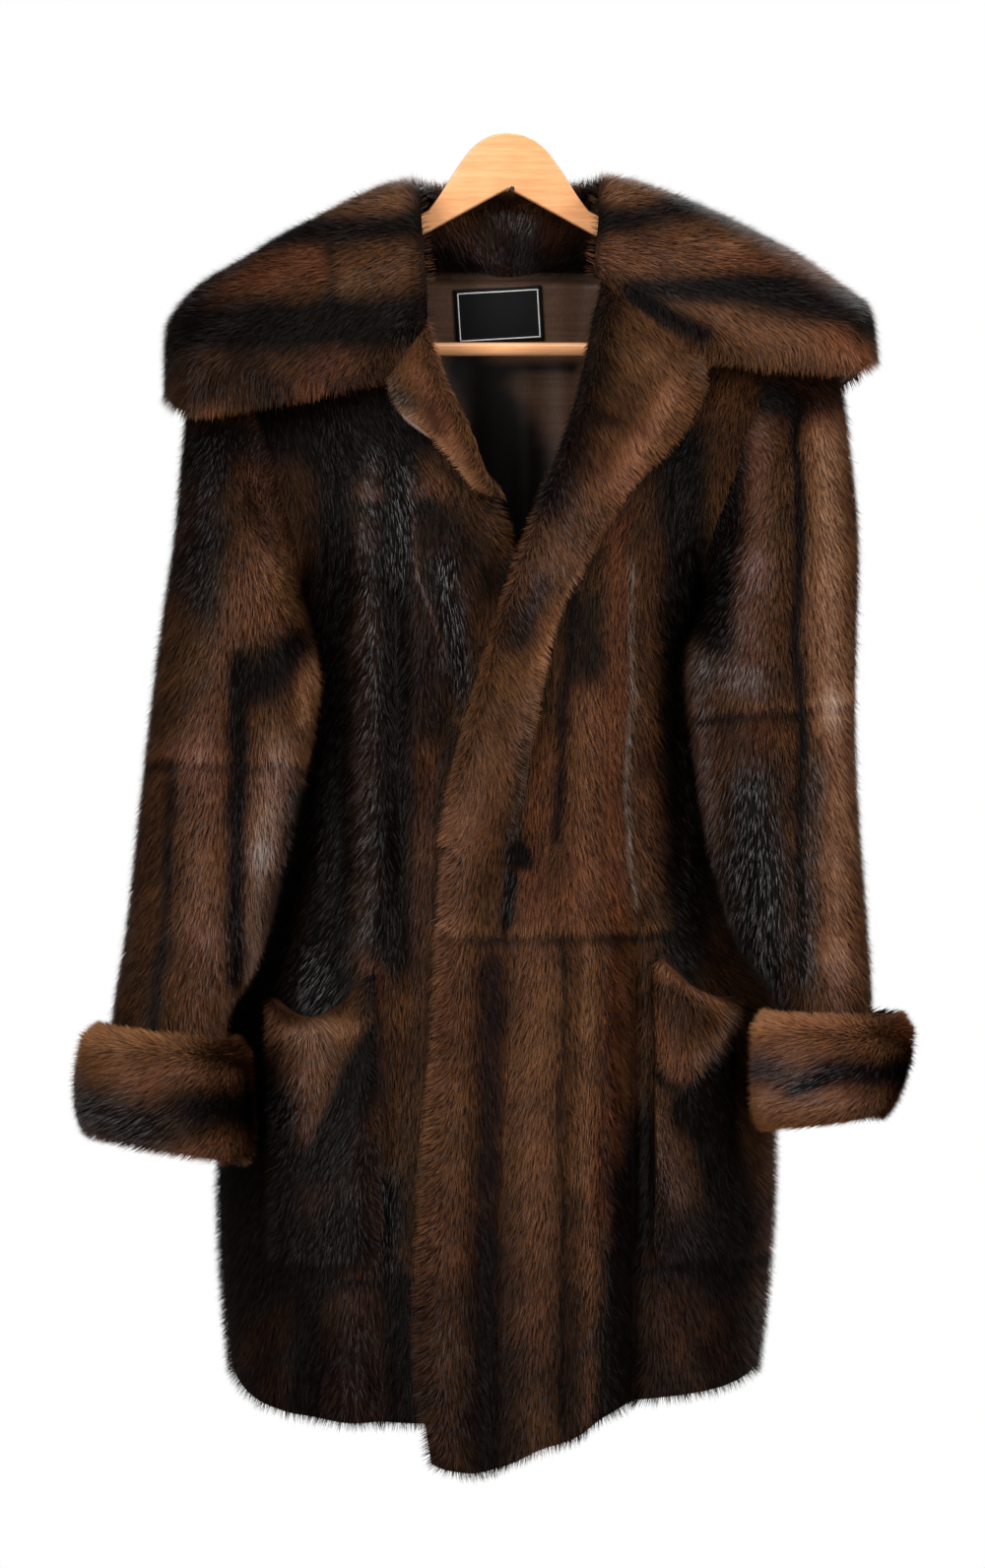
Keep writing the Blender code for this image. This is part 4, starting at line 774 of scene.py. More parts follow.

# Tones of the front, by place in the picture: lines from (x0, z0) to (x1, z1) with a soft width.
# They mix the pelts' own dark and light stripes with painted shade (under the collar, in gaps
# beside the sleeves, in hollows, beside the pockets) and painted highlights.
# tone lightens (+) or darkens (-); warm turns to red-brown (+) or grey (-); glint whitens strands
# with a painted highlight and turns fur towards glossy black with a painted sheen.
TONE_COLUMNS = ("x0", "z0", "x1", "z1", "width", "tone", "warm", "glint")
FRONT_TONES_AND_PAINTED_LIGHT = {
    "front_right": (
        (-131, -230, -131,  -650,  17, -0.29, -0.3,  0.1),
        (-106, -250, -106,  -610,   7,  0.04, -0.4, 0.75),
        ( -87, -230,  -87,  -620,  13, -0.34,    0,  0.1),
        ( -57, -330,  -57,  -590,  16, -0.14,  0.2,  0.1),
        ( -61, -470,  -61,  -600,  12,  0.16,  0.3,    0),
        ( -46, -330,  -36,  -415,   9,  -0.1, -0.6,    1),
        ( -81, -260,  -81,  -330,   8,     0, -0.4,  0.9),
        ( -76, -262,  -68,  -330, 1.8,   0.2,  0.2,  0.5),
        ( -68, -330,  -48,  -392, 1.8,   0.2,  0.2,  0.5),
        (-114, -268,  -60,  -270,   9,  0.16,  0.5,  0.2),
        (-114, -281,  -60,  -281,   3, -0.16,    0,    0),
        ( -60, -290,  -20,  -330,  18, -0.12,    0,    0),
        # painted shadow under the collar
        (-200, -226,  -40,  -206,  25,  -0.3,    0,    0),
        # painted shade in the gap between the body and the sleeve
        (-190, -500, -190,  -780,  38, -0.34,    0,    0),
        (-110, -724, -130,  -850,  18, -0.10,  0.3, 0.05),
        ( -94, -800,  -94,  -852,  12, -0.16, -0.4, 0.45),
        (-146, -636, -140,  -664,  12, -0.10, -0.5,  0.8),
        (-118, -620, -100,  -630,  11,  0.10,  0.4,  0.1),
        (-200, -790, -190,  -850,  26, -0.26,    0,    0),
        (-188, -880, -186,  -970,  24,   0.0,  0.3,    0),
        (-150, -870, -153,  -970,   9, -0.26,    0,    0),
        (-116, -880, -117,  -960,  17,  0.02,  0.4, 0.15),
        ( -84, -870,  -82,  -970,   8,  -0.2,    0,    0),
    ),
    "front_left": (
        (  -4, -350,  -44,  -590,  16,  0.17, 0.25, 0.25),
        (  14, -415,    1,  -590,   5, -0.12, -0.2, 0.45),
        (  49, -350,   38,  -530,   4, -0.16,  0.2,    0),
        (   6, -560,   -2,  -600,   4,  -0.3,    0,    0),
        (  24, -470,   20,  -590,  12,  0.06,  0.6,    0),
        (  61, -430,   53,  -590,  12,  0.16, 0.45,  0.1),
        (  84, -290,   78,  -590,  10,   0.1,  0.8,    0),
        # painted highlight: a thin bluish-white line down the crease
        (  95, -322,   91,  -461, 2.3,  0.14, -0.8,  0.8),
        (  91, -461,   92,  -586, 2.3,  0.14, -0.8,  0.8),
        ( 109, -320,  109,  -590,  11,  0.02,  0.2,    0),
        # painted shade in the gap between this panel and the sleeve
        ( 133, -240,  134,  -615,  16, -0.34, -0.5,  0.1),
        (  60, -362,   60,  -398,  13, -0.15, -0.2,    0),
        (  10, -545,   12,  -549,   6,  -0.6,    0, -0.6),
        (   5, -556,   14,  -558,   4,  0.16,  0.1, -0.4),
        ( -49, -620,  -51,  -990,  20,  0.12,  0.2, 0.15),
        ( -14, -630,  -18, -1000,  10, -0.17,  0.7,    0),
        (  21, -620,   21,  -990,  17,  0.16,  0.2,  0.1),
        (  41, -620,   41,  -980, 2.5, -0.10,    0,    0),
        (  60, -620,   62,  -980,   9,  0.14,  0.1, 0.15),
        (  79, -625,   74,  -810,   8,     0,  0.9,    0),
        ( 100, -760,   96,  -830,  14,  -0.2,    0,    0),
        ( 136, -790,  150,  -826,  34, -0.36,    0,    0),
        (  86, -800,   84,  -860,   5, -0.24,    0,    0),
        (  82, -858,   82,  -985,   9, -0.36,    0,    0),
        ( 126, -880,  132,  -940,  20,  0.06,  0.3, 0.05),
        ( 164, -770,  163,  -870,   8, -0.24,    0,    0),
        ( 196, -760,  190,  -880,   8,  0.08,  0.3,  0.2),
        ( 192, -890,  186,  -950,   9,  0.06, -0.6,  0.5),
    ),
    "sleeve_right": (
        # painted shadow under the collar
        (-256, -240, -150,  -230,  16,  -0.2,  0.2,    0),
        (-250, -240, -250,  -330,  15, -0.10,  0.2,  0.1),
        (-226, -240, -230,  -350,  13, -0.16, -0.2,  0.3),
        (-190, -240, -184,  -310,  10,  0.04,  0.4,  0.2),
        (-196, -330, -232,  -460,  17,  0.12,  0.4,  0.2),
        (-266, -330, -290,  -640,   8,   0.0,  0.3,  0.2),
        (-252, -480, -272,  -740,   4, -0.16,  0.2,    0),
        (-232, -480, -232,  -600,  17,  0.16, 0.35, 0.25),
        (-224, -620, -222,  -740,  22,  0.10, 0.35,  0.3),
        (-204, -400, -209,  -640, 6.5, -0.34,    0,    0),
        (-180, -326, -178,  -362,  15,  0.16, 0.15,  0.1),
        # painted highlight
        (-150, -250, -152,  -288,   7,  0.12, -0.6,  0.9),
        # painted shade in the hollow at the elbow
        (-192, -414, -166,  -394,  13, -0.36,  0.2,    0),
        (-152, -400, -158,  -440,   8,  0.26,  0.1,  0.2),
        # painted highlights along the sleeve's crest
        (-176, -470, -187,  -540,  15,  0.36,  0.2,  0.6),
        (-190, -550, -193,  -640,  10,  0.26, 0.15,  0.6),
        (-178, -480, -176,  -496,   9, -0.02,  0.6,    0),
        (-164, -500, -176,  -600,   9,  -0.2, -0.3,  0.3),
        (-246, -736, -240,  -744,  12, -0.16,  0.3,    0),
    ),
    "sleeve_left": (
        # painted shadow under the collar
        ( 140, -194,  240,  -206,  13, -0.24,  0.2,    0),
        ( 163, -200,  161,  -370,  15,  -0.4, -0.2,  0.1),
        ( 190, -232,  188,  -330,  13,  0.22,  0.4,  0.4),
        ( 189, -330,  186,  -410,  15,  0.12, 0.55,  0.4),
        ( 219, -210,  222,  -470,   4, -0.26,    0,    0),
        ( 221, -470,  222,  -640,   4,  -0.2,    0,    0),
        ( 240, -220,  246,  -430,  15,  0.38, 0.35,  0.3),
        ( 246, -440,  250,  -620,  14,  0.31, 0.45,  0.3),
        ( 172, -330,  176,  -380,   9,  0.12,  0.1,  0.3),
        # painted highlight
        ( 164, -408,  182,  -414,  12,   0.1, -0.3,  0.8),
        ( 189, -440,  188,  -480,  11,  0.02,  0.7,    0),
        ( 186, -500,  190,  -560,  18, -0.16, -0.5,  0.8),
        ( 187, -570,  192,  -650,  22, -0.17, -0.6, 0.85),
        ( 150, -400,  157,  -620,   8,  0.08,  0.2,  0.7),
        ( 232, -480,  228,  -640,   6, -0.02, -0.6,  0.6),
        ( 250, -640,  252,  -700,  14,  0.16,  0.3,  0.3),
    ),
    "collar": (
        # painted shade at the collar's inner edges, beside the hanger
        ( -64,  -46,  -62,   -62,   6,  -0.3,    0,    0),
        (  63,  -40,   62,   -58,   6,  -0.3,    0,    0),
        ( -75,  -44, -130,   -52,  15,  0.18,  0.1, 0.25),
        ( -70,  -72, -180,   -74,   9, -0.26,    0,    0),
        (-180,  -74, -235,  -120,  10, -0.14,    0,  0.3),
        (-145,  -98, -205,  -112,  14,  0.10,  0.8,    0),
        ( -84, -104, -112,  -112,  14,  0.10, -0.1, 0.15),
        (-129,  -88, -130,  -128,   4, -0.14,    0,    0),
        ( -65, -142, -256,  -147,  15, -0.42,    0,    0),
        (-136, -178, -160,  -196,  16,  0.04,  0.6,  0.1),
        (-190, -190, -262,  -176,  22, -0.10,    0,  0.1),
        ( -84, -186, -120,  -196,  13, -0.10,    0, 0.05),
        ( -60, -185,  -75,  -150,  10,  0.05,    0,  0.2),
        (-226, -210, -240,  -222,  10,  0.16,  0.3,  0.1),
        (  70,  -46,  118,   -52,  12,  0.16,    0, 0.15),
        (  66,  -68,  130,   -54,   9,  -0.3,    0,    0),
        ( 130,  -54,  190,   -78,   6, -0.14, -0.2,  0.1),
        (  84,  -92,  150,   -88,  17,  0.14,  0.3, 0.15),
        ( 170,  -96,  246,  -108,  12,  0.08,  0.6, 0.05),
        ( 100, -118,  200,  -119,   8, -0.36,    0,    0),
        ( 200, -119,  272,  -140,  12, -0.28, -0.2, 0.05),
        (  99, -126,  150,  -152,   5, -0.26,    0,    0),
        ( 112, -120,  160,  -140,   7,  0.10,    0, 0.15),
        ( 170, -152,  258,  -162,  16,  0.16,  0.1, 0.12),
        ( 250, -150,  272,  -176,  12,  0.12,  0.6,    0),
    ),
    "collar_stand": (
        ( -60,  -92,   60,   -92,  22, -0.26,    0,    0),
        ( -40,  -80,  -22,   -88,  12,  0.16,  0.7,  0.3),
        (  -2,  -62,   14,   -68,   7,  0.02, -0.5,  0.8),
        (  32,  -82,   36,   -84,  10,  0.12,  0.6,    0),
    ),
    "lapel_left": (
        (  60, -120,   34,  -270,  22, -0.26,  0.2,    0),
        ( 100, -130,  148,  -166,   7,  0.16, -0.1, 0.12),
        ( 110, -170,  128,  -176,  15,  0.10,    0, 0.12),
        ( 120, -200,   86,  -262,  12,  0.24, 0.55,  0.2),
        ( 144, -172,  152,  -196,   7,  0.08, -0.4,  0.3),
        (  70, -215,  100,  -222,   7,  -0.1,  0.3,    0),
        (  50, -290,   30,  -330,  22,   0.1,    0,  0.3),
        (  20, -340,    6,  -380,   9, -0.18,    0,  0.2),
        (  60, -330,   24,  -400,   9,   0.3,  0.4,  0.2),
        (  16, -430,  -10,  -520,  12,   0.2,  0.3,  0.3),
    ),
    "lapel_right": (
        ( -66, -180,  -36,  -240,   9,  0.10,  0.6,  0.1),
        ( -84, -196,  -78,  -200,   7, -0.12, -0.7,  0.3),
        ( -58, -204,  -50,  -220,   6, -0.14,  0.5,    0),
        ( -90, -185,  -80,  -215,   8,   0.1, -0.5,  0.4),
        ( -72, -222,  -34,  -268,  12,   0.3,  0.4,  0.3),
    ),
    "cuff_right": (
        (-310, -690, -215,  -690,  12,  0.13, 0.15,  0.1),
        (-280, -715, -215,  -715,  12,  0.08,  0.4, 0.15),
        (-326, -736, -272,  -754,  19, -0.26, -0.3, 0.45),
        (-228, -740, -196,  -742,  15, -0.32,  0.3,    0),
        (-260, -776, -205,  -772,   9,  0.08,  0.4,  0.2),
    ),
    "cuff_left": (
        ( 200, -676,  296,  -680,  13,  0.24, 0.35, 0.15),
        ( 205, -700,  240,  -704,  10,   0.1,  0.2,  0.2),
        ( 222, -729,  250,  -717, 3.5, -0.24,  0.3,  0.2),
        ( 250, -714,  294,  -711,   9,  -0.3,  0.5,  0.2),
        ( 205, -735,  290,  -736,  11,  0.16,  0.4,  0.3),
        ( 198, -712,  226,  -722,  12, -0.14, -0.2,  0.5),
    ),
    "pocket_right": (
        (-192, -656, -164,  -680,   8,   0.2,  0.1, 0.15),
        (-164, -682, -116,  -678,   9,  0.22,    0, 0.15),
        (-148, -692, -160,  -750,  16,  0.16,  0.1,  0.4),
        (-108, -622,  -96,  -654,   9,  -0.2,  0.2,  0.2),
        # painted shadows on both sides of the pocket's pouch
        ( -98, -684, -140,  -774,  11, -0.46,    0,    0),
        (-200, -662, -180,  -770,  11,  -0.5,    0,    0),
        (-175, -740, -170,  -860,  16, -0.34,    0, 0.05),
        (-118, -780, -130,  -850,  26, -0.16,  0.4,  0.2),
    ),
    "pocket_left": (
        (  82, -616,  104,  -632,   9,  0.16,  0.1, 0.15),
        ( 113, -616,  106,  -660,   4, -0.24,    0,    0),
        ( 120, -636,  168,  -668,   8,  0.22,  0.3, 0.15),
        ( 114, -676,  132,  -712,  13,  0.12,  0.6,  0.1),
        ( 168, -676,  148,  -706,   8,  0.24,  0.1,  0.5),
        ( 104, -712,  128,  -722, 4.5,  -0.2,  0.2,    0),
        # painted shadow beside the pocket's pouch
        ( 178, -692,  136,  -740,   9, -0.46,    0,    0),
        (  98, -700,   94,  -736,   9,  0.14,  0.2,  0.3),
        (  92, -722,  124,  -800,  10,  0.17,  0.2,  0.4),
        ( 148, -742,  158,  -790,  12,  -0.2,    0,    0),
        ( 178, -724,  172,  -850,  22,  -0.5,    0,    0),
        ( 110, -790,  130,  -840,  16, -0.12,  0.2,  0.1),
    ),
}
# Behind, the body is cut from upright pelts as well, dark along each spine and lighter where two
# meet, and the collar from pelts laid across.
BACK_TONES = {
    "body": (
        (-160, -300, -184,  -960,  16, -0.16,    0, 0.15),
        (-122, -240, -146,  -960,  14,  0.10,  0.4,  0.1),
        ( -84, -220, -100,  -960,  15, -0.18,    0,  0.2),
        ( -44, -220,  -54,  -960,  14,  0.12,  0.3,  0.1),
        (  -4, -220,   -6,  -960,  15, -0.16,    0,  0.2),
        (  38, -220,   44,  -960,  14,  0.10,  0.4,  0.1),
        (  78, -220,   92,  -960,  15, -0.18,    0,  0.2),
        ( 116, -240,  136,  -960,  14,  0.12,  0.3,  0.1),
        ( 150, -300,  172,  -960,  14, -0.16,    0, 0.15),
    ),
    "collar": (
        (-190,  -92,  190,   -88,  12,  -0.2,    0, 0.05),
        (-240, -118,  240,  -114,  11,  0.12,  0.5,  0.1),
        (-270, -158,  270,  -150,  14, -0.22,    0, 0.05),
        (-250, -196,  250,  -190,  14,  0.10,  0.3, 0.15),
    ),
}
# Middles of the upright pelts, from which the hair parts to both sides: x at the yoke and hem.
PELT_MIDDLES = {
    "front_right": dict(top=(-170, -118, -74, -32), low=(-188, -134, -96, -44), half=24),
    "front_left": dict(top=(24, 62, 104, 150), low=(-50, 12, 58, 132, 180), half=22),
    "back": dict(top=(-160, -84, -4, 78, 150), low=(-184, -100, -6, 92, 172), half=42),
    "sleeve_right": dict(top=(-222, -180), low=(-292, -236, -186), half=26),
    "sleeve_left": dict(top=(190, 236), low=(176, 206, 248), half=24),
}
# Joins between an upper and a lower row of pelts, by piece: height at two places across.
JOINS = {
    "front_left": (dict(x0=-60, z0=-606, x1=130, z1=-602), dict(x0=90, z0=-851, x1=200, z1=-848)),
    "front_right": (dict(x0=-215, z0=-858, x1=0, z1=-862),),
    "back": (dict(x0=-215, z0=-604, x1=200, z1=-604), dict(x0=-215, z0=-856, x1=200, z1=-852)),
    "sleeve_right": (dict(x0=-300, z0=-473, x1=-140, z1=-478),),
    "sleeve_left": (dict(x0=140, z0=-440, x1=270, z1=-432),),
}
FAN_REACH = 4.0          # cells of a grid over which the hair turns out to a free edge
# How strongly the hair fans out over a piece's free edges: top and foot are its grid's first and
# last rows, start and end its first and last columns. A cuff's last row is its upper rim.
EDGE_FANS = {
    "front": dict(start=0.35, end=1.0),
    "back": dict(start=0.35, end=0.35),
    "collar": dict(top=1.3, start=0.8, end=0.8),
    "collar_stand": dict(foot=0.5),
    "cuff": dict(foot=1.1),
    "lapel": dict(start=1.0, end=1.2),
    "pocket": dict(top=0.9, start=0.4, end=0.4),
}
BASE_TONE = dict(body=0.265, collar=0.27, cuff=0.315, lapel=0.30, pocket=0.255)


def picture_place(points):
    """x and z of where points are seen from the front, on the upright plane through the hanger."""
    scale = VIEW_DISTANCE / (VIEW_DISTANCE + points[:, 1])
    return (CAMERA_X + (points[:, 0] - CAMERA_X) * scale,
            CAMERA_Z + (points[:, 2] - CAMERA_Z) * scale)


def near_line(line, x, z):
    """1 on a line's middle, falling smoothly to 0 past its width and ends."""
    run = np.array([line["x1"] - line["x0"], line["z1"] - line["z0"]], float)
    length = max(float(np.hypot(*run)), 1e-6)
    along = ((x - line["x0"]) * run[0] + (z - line["z0"]) * run[1]) / length
    aside = ((x - line["x0"]) * run[1] - (z - line["z0"]) * run[0]) / length
    past = np.maximum(np.maximum(-along, along - length), 0)
    return np.exp(-(aside / line["width"]) ** 2 - (past / (END_FADE * line["width"])) ** 2)


def ripple(points, size, phase):
    """Smooth uneven values between -1 and 1, repeating about every size mm."""
    k = 2 * math.pi / size
    x, y, z = points.T
    return (np.sin(k * x + phase) * np.cos(0.83 * k * z + 1.7 * phase)
            + np.sin(0.61 * k * (x + z) + 1.3 * k * y - phase)
            + np.cos(0.47 * k * (z - 0.7 * x) + 2.1 * phase)) / 3


def pelt_values(name, points, normal):
    """Tone, warmth and glint of the fur at points of a piece, painted shade and highlights included."""
    kind = next((k for k in BASE_TONE if k in name), "body")
    x, z = picture_place(points)
    x = x + 2.6 * ripple(points, 120, 0.3) + 1.1 * ripple(points, 38, 1.9)
    z = z + 3.0 * ripple(points, 90, 2.4)
    facing = step(0.25, -0.1, normal[:, 1])
    total = np.zeros((len(points), 3))
    for rows, share in ((FRONT_TONES_AND_PAINTED_LIGHT.get(name, ()), facing), (BACK_TONES.get(kind, ()), 1 - facing)):
        for row in rows:
            line = dict(zip(TONE_COLUMNS, row))
            near = near_line(line, x, z) * share
            total += near[:, None] * (line["tone"], line["warm"], line["glint"])
    total[:, 0] += BASE_TONE[kind] + 0.05 * ripple(points, 46, 0.4) + 0.03 * ripple(points, 17, 2.2)
    total[:, 1] += BASE_WARMTH + 0.25 * ripple(points, 120, 1.1)
    total[:, 2] += BASE_GLINT
    if kind in ("body", "pocket"):
        low = step(SKIRT_SHADE["start"], SKIRT_SHADE["end"], points[:, 2])
        total[:, 0] -= SKIRT_SHADE["dark"] * low
    if name == "lapel_left":
        blend = step(BAND_END["start"], BAND_END["end"], points[:, 2])[:, None]
        total = total * (1 - blend) + pelt_values("front_left", points, normal) * blend
    for join in JOINS.get(name, ()):
        total[:, 0] += join_tone(join, points)
    return np.clip(total, (0.02, 0, 0), (1, 1, 1))


def join_tone(join, points):
    """A join of two rows of pelts: a dark line under the lighter ends of the upper row."""
    above = points[:, 2] - (join["z0"] + (join["z1"] - join["z0"])
                            * (points[:, 0] - join["x0"]) / (join["x1"] - join["x0"]))
    within = (points[:, 0] > join["x0"]) & (points[:, 0] < join["x1"])
    return within * (JOIN_SHINE * step(14, 3, above) * (above > 0)
                     - JOIN_SHADE * np.exp(-((above + 4) / 3.5) ** 2))


def parting(middles, points):
    """How the hair of upright pelts parts, from -1 to 1 across each one."""
    fallen = np.clip((FALL_START - points[:, 2]) / FALL_LENGTH, 0, 1)
    slant = np.where(points[:, 2] > ROW_JOIN, UPPER_SLANT, 1.0) * fallen
    lines = [top + (low - top) * slant for top, low in paired(middles["top"], middles["low"])]
    offset = points[:, :1] - np.stack(lines, axis=1)
    nearest = np.argmin(np.abs(offset), axis=1)
    part = np.clip(offset[np.arange(len(points)), nearest] / middles["half"], -1, 1)
    return np.sign(part) * np.abs(part) ** 0.7


def lie(name, points, down, across, normal):
    """Direction in which the hairs lie on the skin."""
    along = down.copy()
    sideways = np.zeros_like(along)
    sideways[:, 0] = 1
    sideways -= normal * normal[:, :1]
    if name in PELT_MIDDLES:
        along += sideways * (parting(PELT_MIDDLES[name], points) * PELT_TURN)[:, None]
    elif "cuff" in name:
        along = CUFF_LIE[0] * np.cross(normal, unit(along)) - CUFF_LIE[1] * unit(along)
    elif "lapel" in name:
        outward = LAPEL_LIE[1] * step(-540, -380, points[:, 2])
        along = along * LAPEL_LIE[0] + across * outward[:, None]
    elif "pocket" in name:
        along = along + sideways * (POCKET_SWIRL * ripple(points, 90, 0.2))[:, None]
    turn = 0.10 * ripple(points, 70, 0.9) + 0.05 * ripple(points, 26, 2.6)
    side = np.cross(normal, unit(along))
    return unit(unit(along) + side * turn[:, None])


def paired(top, low):
    """Each low middle with the upper one nearest to it in order."""
    count = max(len(top), len(low))
    pick = [np.round(np.linspace(0, len(row) - 1, count)).astype(int) for row in (top, low)]
    return [(top[i], low[j]) for i, j in zip(*pick)]


def at_cells(grid, row, column, down, across):
    """A grid's values inside its cells."""
    below, beside = row + 1, (column + 1) % grid.shape[1]
    down, across = down[:, None], across[:, None]
    return ((grid[row, column] * (1 - across) + grid[row, beside] * across) * (1 - down)
            + (grid[below, column] * (1 - across) + grid[below, beside] * across) * down)


def hair_cells(points, normal, count, steps):
    """The grid cell of each hair, in proportion to its area and with more hairs in front."""
    beside = np.roll(points, -1, axis=1)[:, :steps]
    here = points[:, :steps]
    area = np.linalg.norm(np.cross(beside[1:] - here[:-1], here[1:] - beside[:-1]), axis=2) / 2
    shown = step(0.5, -0.15, normal[:-1, :steps, 1])
    density = area * (BACK_DENSITY + (1 - BACK_DENSITY) * shown)
    share = np.concatenate([[0], np.cumsum(density.ravel())])
    share = np.floor(share / share[-1] * count + 0.5).astype(int)
    return np.repeat(np.arange(density.size), np.diff(share))


def fanned(name, flow, reach):
    """The hair's flow turned outwards near the piece's free edges, and how much it turns."""
    fans = EDGE_FANS.get(name if name == "collar_stand" else name.split("_")[0], {})
    loose = np.zeros(len(flow))
    for edge, strength in fans.items():
        away, outward = reach[edge]
        near = step(FAN_REACH, 0.0, away) * strength
        flow = unit(flow + outward * near[:, None])
        loose = np.maximum(loose, near)
    return flow, loose


def clumped(base, tip, chance):
    """Tips pulled a little towards the middle of the clump that they belong to."""
    clump = np.floor((base + 3 * ripple(base, 31, 0.7)[:, None]) / CLUMP).astype(np.int64)
    _, clump = np.unique(clump @ (1, 4096, 4096**2), return_inverse=True)
    members = np.bincount(clump)
    centre = np.stack([np.bincount(clump, tip[:, i]) / members for i in range(3)], axis=1)
    return tip + (centre[clump] - tip) * (CLUMP_PULL * chance)[:, None]


def hairs(name, points, normal, count, root, surface, wrap, length):
    """A coat of hairs on a grid, one blade each, rooted at root mm out from it."""
    made_up = np.random.default_rng(len(name) * 1009 + count)
    rows, columns = points.shape[:2]
    steps = columns if wrap else columns - 1
    cell = hair_cells(points, normal, count, steps)
    row, column = cell // steps, cell % steps
    inside = made_up.random((2, len(cell)))
    normal_at = unit(at_cells(normal, row, column, *inside))
    base = at_cells(points, row, column, *inside) + normal_at * root
    down = unit(at_cells(np.gradient(points, axis=0), row, column, *inside))
    if wrap:
        sideways = (np.roll(points, -1, axis=1) - np.roll(points, 1, axis=1)) / 2
    else:
        sideways = np.gradient(points, axis=1)
    across = unit(at_cells(sideways, row, column, *inside))
    down = unit(down - normal_at * np.sum(down * normal_at, axis=1, keepdims=True))
    values = pelt_values(name, base, normal_at)
    reach = dict(top=(row + inside[0], -down), foot=(rows - 1 - row - inside[0], down),
                 start=(column + inside[1], -across), end=(steps - column - inside[1], across))
    flow, loose = fanned(name, lie(name, base, down, across, normal_at), reach)

    chance = made_up.random((5, len(cell)))
    guard = chance[0] > GUARD["above"]
    stray = chance[0] < STRAY["below"]
    lean = (HAIR_LEAN + stray * STRAY["lean"] + np.sin(math.pi * np.clip(loose, 0, 0.8)) * FAN_LEAN
            + LEAN_SPREAD * (chance[1] - 0.5) * 2 + guard * GUARD["lean"])
    shortest, added = HAIR_LENGTHS
    span = length * (shortest + added * chance[2]) * np.where(guard, GUARD["length"], 1)
    axis = flow * np.cos(lean)[:, None] + normal_at * np.sin(lean)[:, None]
    wander = np.cross(axis, normal_at)
    axis = unit(axis + wander * (WANDER * made_up.standard_normal(len(cell)))[:, None])
    tip = clumped(base, base + axis * span[:, None], chance[3])

    axis = unit(tip - base)
    side = unit(np.cross(axis, normal_at))
    roll = HAIR_ROLL * (chance[4] - 0.5) * 2
    side = side * np.cos(roll)[:, None] + np.cross(axis, side) * np.sin(roll)[:, None]
    behind = step(-0.1, 0.5, normal_at[:, 1])
    width = (np.where(guard, GUARD["width"], 1) * HAIR_WIDTH
             + (BACK_HAIR_WIDTH - HAIR_WIDTH) * behind)
    half_base = side * (width / 2)[:, None]
    vertices = np.stack([base - half_base, base + half_base, tip], axis=1).reshape(-1, 3)
    place = np.stack([(column + inside[1] + 0.5) / (2 * (columns + (1 if wrap else 0))),
                      (row + inside[0] + 0.5) / rows], axis=1)
    spots = place[:, None] + np.array([(0, 0), (HAIR_TEXEL, 0), (0, HAIR_TEXEL)])
    made = mesh_object(name + "_hair", vertices, np.arange(len(vertices)), 3, [surface], spots)
    made.data.shade_smooth()

    flat = np.cross(axis, side)
    flat *= np.sign(np.sum(flat * normal_at, axis=1, keepdims=True))
    shading = unit(normal_at + HAIR_ROUNDNESS * flat)
    vertex_values(made, "custom_normal", np.repeat(shading, 3, axis=0))
    vertex_values(made, "pelt", np.repeat(values, 3, axis=0))
    strand = np.zeros((len(cell), 3, 3))
    strand[:, 2, 0] = 1
    strand[..., 1] = chance[2][:, None] * 0.6 + chance[4][:, None] * 0.4
    strand[..., 2] = np.where(guard, chance[3], 0)[:, None]
    vertex_values(made, "strand", strand)
    return made


